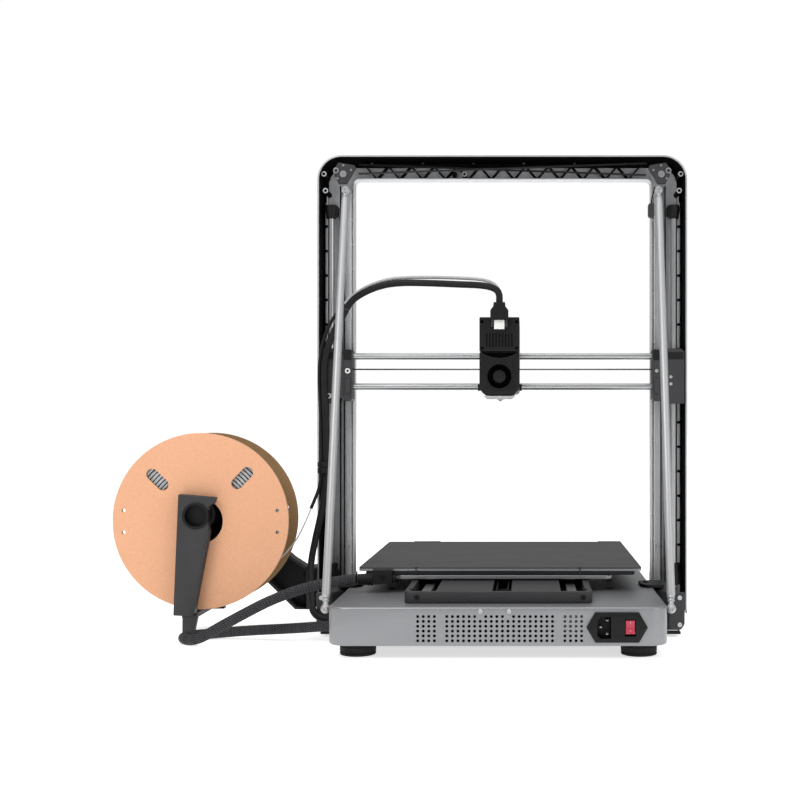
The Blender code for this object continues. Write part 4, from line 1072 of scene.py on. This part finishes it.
def make_foot_bracket(side, sign):
    name = f"foot_bracket_{side}"
    _, y, z = extent(name)
    bracket = [(174.3, y[0]), (203, y[0]), (203, y[1]), (189, y[1]), (174.3, 45)]
    form = Form().prism(bracket, z, "Z")
    form.prism([(189.5, z[0]), (203, z[0]), (207.3, z[0] + 6), (207.3, z[1]), (189.5, z[1])],
               (y[1], y[1] + 3))
    mirrored_piece(name + "_piece", form, sign, "chassis", DARK, 1.6, [name])
    screws = Form()
    for place in (44.7, 14.5):
        screws.screw((201.5, y[1] + 3.1, place), (0, 1, 0), 2.6, 1.2)
    mirrored_piece(f"foot_bracket_screws_{side}", screws, sign, "chassis", RIM_METAL, 0)
    lip = Form().block((175, 200), (y[0] + 2, y[1] - 2), (6.6, 8.2))
    mirrored_piece(f"foot_lip_{side}", lip, sign, "chassis", RIM_METAL, 0.3)
    pad = Form().block((175, 203), (y[0] + 2, y[1] + 1), (3.4, 6.3))
    mirrored_piece(f"foot_pad_{side}", pad, sign, "chassis", RUBBER, 0.6)
    clip = Form()
    deck = extent("base_shell")[2][1]
    clip.prism([(160, 20), (173.8, 14), (186, 14), (186, 60), (166, 60), (160, 50)],
               (deck + 0.2, deck + 3.4), "Z")
    clip.block((174.4, 186), (14, 44), (51.2, deck + 0.2))
    clip.screw((167, 34, deck + 3.4), (0, 0, 1), 2.6)
    mirrored_piece(f"deck_clamp_{side}", clip, sign, "chassis", BLACK, 0.9)


def make_motor(side):
    """A stepper: dark grey end caps on a black laminated body."""
    name = f"xz_motor_{side}"
    x, y, z = extent(name)
    form = Form()
    depth = y[1] - y[0]
    for start, end, finish, inset in ((0, 0.25, 0, 0), (0.25, 0.72, 1, 0.6), (0.72, 1, 0, 0)):
        form.finish = finish
        cut = 3.5
        left, right, low, high = x[0] + inset, x[1] - inset, z[0] + inset, z[1] - inset
        outline = [(left + cut, low), (right - cut, low), (right, low + cut), (right, high - cut),
                   (right - cut, high),
                   (left + cut, high), (left, high - cut), (left, low + cut)]
        form.prism(outline, (y[0] + start * depth, y[0] + end * depth))
    piece(name + "_piece", form, "chassis", [DARK, BLACK], 0.5, [name])


def make_endstop():
    form = Form().prism(rounded((-184, -176.8), (491, 508), 2.5, 5), (-40.6, -31))
    piece("endstop", form, "chassis", DARK, 0.6)
    wire = Form().sweep(smooth_route([(-180.5, -34, 508), (-181, -33, 514), (-183, -31, 520),
                                      (-184, -29, 527)], 1.5),
                        0.8, 10)
    piece("endstop_wire", wire, "chassis", BLACK, 0)


def make_display():
    keep("display_pod", BLACK, 1.5)
    keep("display_screen", GLASS, 0.4)


# --- beam and head -----------------------------------------------------------------------------

def make_beam():
    for side, sign in SIDES:
        name = f"z_carriage_{side}"
        x, y, z = extent(name)
        outer = (max(abs(x[0]), abs(x[1])), min(abs(x[0]), abs(x[1])))
        form = Form()
        form.prism([(196, z[0] + 3), (199, z[0]), (outer[0], z[0]), (outer[0], z[1] - 4),
                    (outer[0] - 4, z[1]),
                    (196, z[1])], (-30.6, y[1]))
        form.block((196, 201.5), (y[0], -30.6), (z[0] + 4, z[1] - 4))
        form.block((214.5, outer[0]), (y[0], -30.6), (z[0] + 4, z[1] - 4))
        form.prism([(outer[1], z[0] + 5), (outer[1] + 2, z[0] + 3), (190, z[0] + 3), (190, z[1] - 1),
                    (outer[1] + 2, z[1] - 1), (outer[1], z[1] - 3)], (-40, -15))
        form.block((186, 200), (-26, -16), (z[0] + 6, z[1] - 6))
        form.block((182, 188), (-15, -12.6), (z[0] + 12, z[0] + 30))
        mirrored_piece(name + "_piece", form, sign, "beam", DARK, 0.8, [name])
        cap = Form()
        cap.block((197, outer[0] - 1), (-29, y[1] + 0.6), (z[1] - 13, z[1] - 4.5))
        cap.block((outer[1] + 0.7, 190.3), (-40.3, -14.6), (z[1] - 14, z[1] - 1.6))
        cap.ring((208, -35, z[1] - 8), (0, 0, 1), 8.6, 4.4, 7.5)
        cap.ring((208, -35, z[0] + 0.5), (0, 0, 1), 8.6, 4.4, 7.5)
        mirrored_piece(f"carriage_bearings_{side}", cap, sign, "beam", BLACK, 0.5)
        screws = Form()
        if sign > 0:
            for place, height in ((185, 304), (207.7, 274)):
                screws.finish = 0
                screws.ring((place, y[1] + 0.1, height), (0, 1, 0), 3.2, 1.5, 0.9)
                screws.finish = 1
                screws.turned([(1.6, 0), (1.6, 0.3)], (place, y[1] + 0.1, height), (0, 1, 0), 24)
        else:
            for height in (296.8, 288.4):
                screws.screw((201.9, y[1] + 0.1, height), (0, 1, 0), 2.0, 1.3)
            screws.screw((185, y[1] + 0.1, 304), (0, 1, 0), 2.2, 1.3)
        finishes = [WHITE, MATT_BLACK] if sign > 0 else RIM_METAL
        mirrored_piece(f"carriage_screws_{side}", screws, sign, "beam", finishes, 0)

    for name in ("x_rod_upper", "x_rod_lower"):
        x, y, z = extent(name)
        middle = (sum(y) / 2, sum(z) / 2)
        piece(name + "_piece", Form().rod((x[0], *middle), (x[1], *middle), (z[1] - z[0]) / 2, 40), "beam",
              STEEL, 0,
              [name])
    x, y, z = extent("x_belt")
    middle = sum(z) / 2
    piece("x_belt_piece", Form().belt([(x[0], middle), (x[1], middle)], y, "Y", tooth=0.9), "beam", BELT, 0,
          ["x_belt"])


def make_head():
    x, y, z = extent("head_shell")
    middle, chamfer = (x[0] + x[1]) / 2, 7.0
    fan_z, fan_radius = 296.3, 14.2
    outline = [(x[0] + chamfer, z[0]), (x[1] - chamfer, z[0]), (x[1], z[0] + chamfer), (x[1], z[1]),
               (x[0], z[1]),
               (x[0], z[0] + chamfer)]
    shell = new_object("head_shell_piece", Form().prism(outline, y), [BLACK])
    fixed(soften(shell, 1.8, 4))
    smile = arc((middle, z[1] + 30), 37.0, 232, 308, 20)
    gap = smile + [(x[1] - 2, z[1] + 9), (x[0] + 2, z[1] + 9)]
    carve(shell, Form().turned([(fan_radius, 0), (fan_radius, 20)], (middle, 1, fan_z), (0, 1, 0), 64),
          Form().prism(gap, (y[1] - 8, y[1] + 3)))
    # Painted shade: a matt black sheet at the bottom of the gap under the smile.
    shade = smile + [(x[1] - 4, z[1] - 0.6), (x[0] + 4, z[1] - 0.6)]
    piece("shell_gap_shade", Form().prism(shade, (y[1] - 8.2, y[1] - 7.8)), "head", MATT_BLACK, 0)
    smooth(shell)
    attach(shell, "head", ["head_shell"])
    trim = Form()
    trim.ring((middle, y[1] - 0.6, fan_z), (0, 1, 0), fan_radius + 2.2, fan_radius + 0.1, 1.4)
    for dx in (-1, 1):
        trim.prism(rounded((middle + dx * 19.6 - 2.2, middle + dx * 19.6 + 2.2), (300, 318), 1.6, 4),
                   (y[1], y[1] + 0.8))
        for height in (283, 310):
            trim.screw((middle + dx * 16.8, y[1] + 0.05, height), (0, 1, 0), 1.5, 0.8)
    piece("fan_trim", trim, "head", BLACK, 0.2)

    ex, ey, ez = extent("extruder_box")
    side_view = [(ey[0], ez[0] + 10), (y[0], ez[0] + 10), (y[0], ez[0]), (ey[1], ez[0]), (ey[1], ez[1]),
                 (ey[0], ez[1])]
    upper = new_object("extruder_box_piece", Form().prism(side_view, ex, "X"), [BLACK])
    fixed(soften(upper, 1.5, 4))
    slots = Form()
    for i in range(9):
        centre = middle + (i - 4) * 3.7
        slots.prism(stadium((centre, 338.8), 7.2, 0.95, 90, 6), (ey[1] - 2.5, ey[1] + 3))
    holes = Form()
    for dx in (20.4, -20.4):
        holes.turned([(2.0, ey[1] - 4), (2.0, ey[1] + 3)], (middle + dx, 0, 360.5), (0, 1, 0), 24)
    carve(upper, slots, holes)
    smooth(upper)
    attach(upper, "head", ["extruder_box"])
    screws = Form()
    for dx in (20.4, -20.4):
        screws.screw((middle + dx, ey[1] + 0.05, 329.5), (0, 1, 0), 1.9, 0.9)
        screws.turned([(1.9, ey[1] - 3.9), (1.9, ey[1] - 2.5)], (middle + dx, 0, 360.5), (0, 1, 0), 24)
    piece("extruder_screws", screws, "head", MATT_BLACK, 0)
    socket_frame = Form()
    for low, high in ((-9.5, -6.4), (6.4, 9.5)):
        socket_frame.block((middle + low, middle + high), (ey[1] + 0.1, ey[1] + 5.5), (354, 366))
    piece("head_socket_frame", socket_frame, "head", DARK, 0.5)
    ears = Form()
    for low, high in ((-26.2, -23.4), (23.4, 26.2)):
        ears.block((middle + low, middle + high), (-13, -8), (280, 288))
    piece("head_ears", ears, "head", BLACK, 0.4)
    connector = Form()
    connector.block((middle - 6, middle + 6), (ey[1] + 0.3, ey[1] + 6.5), (351.5, 362))
    for i in range(5):
        connector.block((middle - 4.9 + i * 2.2, middle - 4.0 + i * 2.2), (ey[1] + 6.5, ey[1] + 6.9),
                        (353, 360.5))
    piece("head_connector", connector, "head", WHITE, 0.3)

    px, py, pz = extent("cable_plug")
    shoulder = [(px[0], pz[0]), (px[1], pz[0]), (px[1], pz[0] + 11), (px[1] - 3.4, pz[0] + 15.5),
                (px[1] - 3.9, pz[1]), (px[0] + 3.9, pz[1]), (px[0] + 3.4, pz[0] + 15.5), (px[0], pz[0] + 11)]
    plug = Form().prism(shoulder, py)
    for i in range(4):
        plug.block((px[0] + 5, px[1] - 5), (py[1], py[1] + 0.5), (pz[0] + 3 + i * 2.6, pz[0] + 4.2 + i * 2.6))
    piece("cable_plug_piece", plug, "head", BLACK, 0.8, ["cable_plug"])

    carriage = copied("head_carriage", "head_carriage_piece", BLACK)
    corners = []
    for edge, sign in ((x[0], 1), (x[1], -1)):
        corners.append(Form().prism([(edge - sign * 20, z[0] + chamfer + 20), (edge - sign * 20, z[0] - 20),
                                     (edge + sign * (chamfer + 20), z[0] - 20)], (y[0] - 60, y[1] + 10)))
    carve(carriage, *corners)
    smooth(carriage, 30)
    attach(carriage, "head", ["head_carriage"])
    fx, fy, fz = extent("head_front_cover")
    cover = new_object("head_front_cover_piece", Form().prism(rounded(fx, fz, 5, 8), fy), [DARK])
    fixed(soften(cover, 2.5, 4))
    grille = Form()
    for i in range(6):
        grille.prism(stadium((middle, 292 + i * 6), 13, 1.4, 0, 6), (fy[0] - 3, fy[0] + 2.5))
    carve(cover, grille)
    smooth(cover)
    attach(cover, "head", ["head_front_cover"])

    hx, hy, hz = extent("hot_end")
    hot = Form().block(hx, hy, (270.6, hz[1]))
    hot.turned([(4.2, 270.8), (4.2, 269.6), (3.4, 269.4), (1.0, hz[0])][::-1],
               (middle, (hy[0] + hy[1]) / 2 - 2, 0),
               (0, 0, 1), 6)
    piece("hot_end_piece", hot, "head", STEEL, 0.3, ["hot_end"])
    duct = Form().prism([(middle - 18.8, z[0] - 0.6), (middle - 15, 269.9), (middle + 15, 269.9),
                         (middle + 18.8, z[0] - 0.6)], (y[0] + 1, y[1] - 1))
    piece("fan_duct", duct, "head", RIM_METAL, 0.5)
    make_fan(middle, fan_z)


def make_fan(x, z):
    """Hub and nine swept blades that turn inside the head's round opening."""
    _, y, _ = extent("fan_rotor")
    form = Form().turned([(7.9, y[0]), (7.9, y[1] - 1), (7.2, y[1] - 0.2), (4.4, y[1]), (3.6, y[1] - 0.5)],
                         (x, 0, z), (0, 1, 0), 48)
    form.finish = 1
    blades, inner, outer, sweep = 9, 6.8, 13.3, 32.0
    for k in range(blades):
        rings = []
        for i in range(7):
            share = i / 6
            radius = inner + (outer - inner) * share
            angle = math.radians(k * 360 / blades + sweep * share ** 1.2)
            pitch = 5.2 - share * 1.2
            ring = []
            for turn, depth in ((-0.19, 0), (0.19, pitch), (0.24, pitch), (-0.14, 0)):
                a = angle + turn * inner / radius * 1.4
                ring.append((x + radius * math.cos(a), y[0] + 1.5 + depth, z + radius * math.sin(a)))
            rings.append(ring)
        form.loft(rings)
    form.turned([(13.4, y[0]), (13.4, y[0] + 0.8)], (x, 0, z), (0, 1, 0), 48)
    piece("fan_rotor_piece", form, "fan", [BLACK, MATT_BLACK], 0, ["fan_rotor"])


# --- spool and holder --------------------------------------------------------------------------

def make_spool():
    x, y, z = extent("spool")
    centre_x, centre_z, radius = (x[0] + x[1]) / 2, (z[0] + z[1]) / 2, (x[1] - x[0]) / 2
    flange, core, bore = 4.0, 31.8, 25.3
    windows, holes = Form(), Form()
    for slant in (44, 134):
        a = math.radians(slant)
        place = (centre_x + 68 * math.cos(a), centre_z + 68 * math.sin(a))
        windows.prism(stadium(place, 8.4, 6.6, slant, 12), (y[0] - 5, y[1] + 5))
    for dx in (87.2, -87.2):
        for dz in (12.2, -12.6):
            holes.turned([(2.1, y[0] - 5), (2.1, y[1] + 5)], (centre_x + dx, 0, centre_z + dz), (0, 1, 0), 20)
    form = Form()
    for low, high in ((y[0], y[0] + flange), (y[1] - flange, y[1])):
        form.finish = 0
        form.turned([(radius - 0.5, high), (radius, high - 0.5), (radius, low + 0.5), (radius - 0.5, low),
                     (bore, low), (bore, high)], (centre_x, 0, centre_z), (0, 1, 0), 128, closed=True)
    form.turned([(core, y[0] + flange + 0.02), (core, y[1] - flange - 0.02), (bore, y[1] - flange - 0.02),
                 (bore, y[0] + flange + 0.02)], (centre_x, 0, centre_z), (0, 1, 0), 96, closed=True)
    spool = new_object("spool_piece", form, [BOARD, BOARD_EDGE_AND_SHADE])
    carve(spool, windows, holes)
    # Cut edges and faces between the flanges take the darker board: partly the darker cut edge, partly
    # painted shade on inner faces that stand in shade.
    for face in spool.data.polygons:
        depth = (face.center.y - ORIGIN.y) / MM
        if abs(face.normal.y) < 0.5 or y[0] + 1 < depth < y[1] - 1:
            face.material_index = 1
    smooth(spool, 30)
    attach(spool, "spool_body", ["spool"])
    # Painted shade: a matt black sleeve lines the spool's bore, which stands in shade.
    bore_shade = Form().ring((centre_x, y[0] + 0.4, centre_z), (0, 1, 0), bore, bore - 0.9, y[1] - y[0] - 0.8)
    piece("spool_bore_shade", bore_shade, "spool_body", MATT_BLACK, 0)

    wx, _, _ = extent("filament_winding")
    outer, thread = (wx[1] - wx[0]) / 2, FILAMENT_DIAMETER
    low, high = y[0] + flange + 0.4, y[1] - flange - 0.4

    def scallops(start, end, count, bulge):
        """Points from start to end that bulge outward once for each turn of filament."""
        step = (Vector(end) - Vector(start)) / count
        out = Vector((step.y, -step.x)).normalized() * bulge
        return [tuple(Vector(start) + step * (i + t) + out * math.sin(math.pi * t))
                for i in range(count) for t in (0, 0.25, 0.5, 0.75)]

    edge, layer_pitch = 1.8, 4.2
    rows, layers = round((high - low) / thread), round((outer - 34) / layer_pitch)
    profile = (scallops((34, low + edge), (outer - edge, low + edge), layers, edge)
               + scallops((outer - edge, low + edge), (outer - edge, high - edge), rows, edge)
               + scallops((outer - edge, high - edge), (34, high - edge), layers, edge))
    piece("filament_winding_piece", Form().turned(profile, (centre_x, 0, centre_z), (0, 1, 0), 96,
                                                  closed=True),
          "spool_body", FILAMENT_FINISH, 0, ["filament_winding"])
    # Painted shade: matt black rings in the grooves between the layers of filament.
    groove_shade, step = Form(), (outer - edge - 34) / layers
    for i in range(1, layers):
        groove = 34 + step * i
        for depth in (low + edge - 0.9, high - edge - 0.1):
            groove_shade.turned([(groove - 0.5, depth), (groove + 0.5, depth), (groove + 0.5, depth + 1),
                         (groove - 0.5, depth + 1)], (centre_x, 0, centre_z), (0, 1, 0), 96, closed=True)
    piece("winding_groove_shade", groove_shade, "spool_body", MATT_BLACK, 0)


def make_holder():
    hub = Vector((340.5, 138))
    tilt = Vector((78.5, 71)).normalized()
    across = Vector((-tilt.y, tilt.x)) * 21
    bend = Vector((262, 66))
    start = math.degrees(math.atan2(-across.y, -across.x))
    outline = ([(229, 20.3), (245.6, 20.5), tuple(bend - across)] + arc(hub, 21, start, start + 180, 20)
               + [tuple(bend + across), (230.8, 70.6), (229, 69)])
    inner = []
    count = len(outline)
    for i, point in enumerate(outline):
        before, after = Vector(outline[i - 1]), Vector(outline[(i + 1) % count])
        run = (after - before).normalized()
        inner.append(tuple(Vector(point) + Vector((-run.y, run.x)) * 3.2))
    arm = Form().prism(outline, (-21, -17))
    arm.finish = 1
    arm.loft([[(u, -17, v) for u, v in outline], [(u, 0, v) for u, v in outline],
              [(u, 0, v) for u, v in inner],
              [(u, -17, v) for u, v in inner]], loop=True)
    for share in (0.12, 0.36, 0.6):
        middle = bend.lerp(hub, share)
        side = across * 0.9
        for direction in (1, -1):
            end = middle + side * 0.98 * direction + tilt * 6
            run = (end - middle).normalized()
            off = Vector((-run.y, run.x)) * 1.1
            arm.prism([tuple(p) for p in (middle - off, end - off, end + off, middle + off)], (-17, -6))
    for radius in (10, 16):
        inner_arc = arc(bend + Vector((6, 2)), radius, -40, 130, 16)
        outer_arc = arc(bend + Vector((6, 2)), radius + 1.8, -40, 130, 16)
        arm.prism(inner_arc + outer_arc[::-1], (-17, -6))
    arm.finish = 0
    arm.block((222.8, 231), (-60, -1), (21, 68))
    arm.block((330.5, 361.5), (-14, -4), (20.5, 138))
    for z in (34, 60):
        arm.screw((236, 0.05 - 17, z), (0, 1, 0), 3.0, 2.0)
    piece("holder_arm_piece", arm, "chassis", [BLACK, DARK], 0.8, ["holder_arm"])

    _, y, _ = extent("holder_tube")
    tube = Form().turned([(17, y[1]), (17, y[0]), (12.5, y[0]), (12.5, y[1])], (hub.x, 0, hub.y), (0, 1, 0),
                         64, closed=True)
    piece("holder_tube_piece", tube, "chassis", BLACK, 0.5, ["holder_tube"])

    _, y, _ = extent("holder_upright")
    low, high = 69.5, y[1]
    eye = Vector((342, 137))
    plate = [(319.6, 157.7), (321.7, 151.2), (327.5, 147.5), (329.5, 138), (328.5, 128), (326.7, 118.4),
             (344.6, 24), (367.5, 25), (361.8, 161.3)]
    upright = new_object("holder_upright_piece", Form().prism(plate, (low, high)), [DARK])
    fixed(soften(upright, 1.2, 3))
    carve(upright, Form().turned([(12.6, low - 4), (12.6, high + 6)], (eye.x, 0, eye.y), (0, 1, 0), 48))
    smooth(upright)
    attach(upright, "chassis", ["holder_upright"])
    leg = Form().prism([(358, 26), (340.5, 26), (346, 0.5), (358, 0.5)], (low, high - 3))
    piece("holder_leg", leg, "chassis", DARK, 1.0)
    ring = Form().ring((eye.x, high - 7, eye.y), (0, 1, 0), 15.0, 12.1, 8.6)
    ring.turned([(12.4, low + 0.2), (12.4, low + 2.5)], (eye.x, 0, eye.y), (0, 1, 0), 48)
    piece("holder_ring", ring, "chassis", BLACK, 0.2)
    bridge = Form().block((344, 361), (-3.7, 69.4), (20.5, 27))
    piece("holder_bridge", bridge, "chassis", BLACK, 0.8)


make_camera()
make_cords()
bpy.context.scene.view_settings.view_transform = "Standard"
make_world()
make_floor()
make_light("key", (1.2, 2.2, 2.4), (-0.1, 0, 0.25), (1.6, 1.6), 42)
make_light("fill", (-2.2, 1.6, 1.2), (-0.1, 0, 0.3), (1.4, 1.8), 16)
make_light("top", (0, -0.2, 2.6), (0, 0, 0), (2.4, 2.4), 24)
make_base()
make_power_inlet()
make_electronics()
make_deck()
make_bed()
make_frame()
make_endstop()
make_display()
make_beam()
make_head()
make_spool()
make_holder()
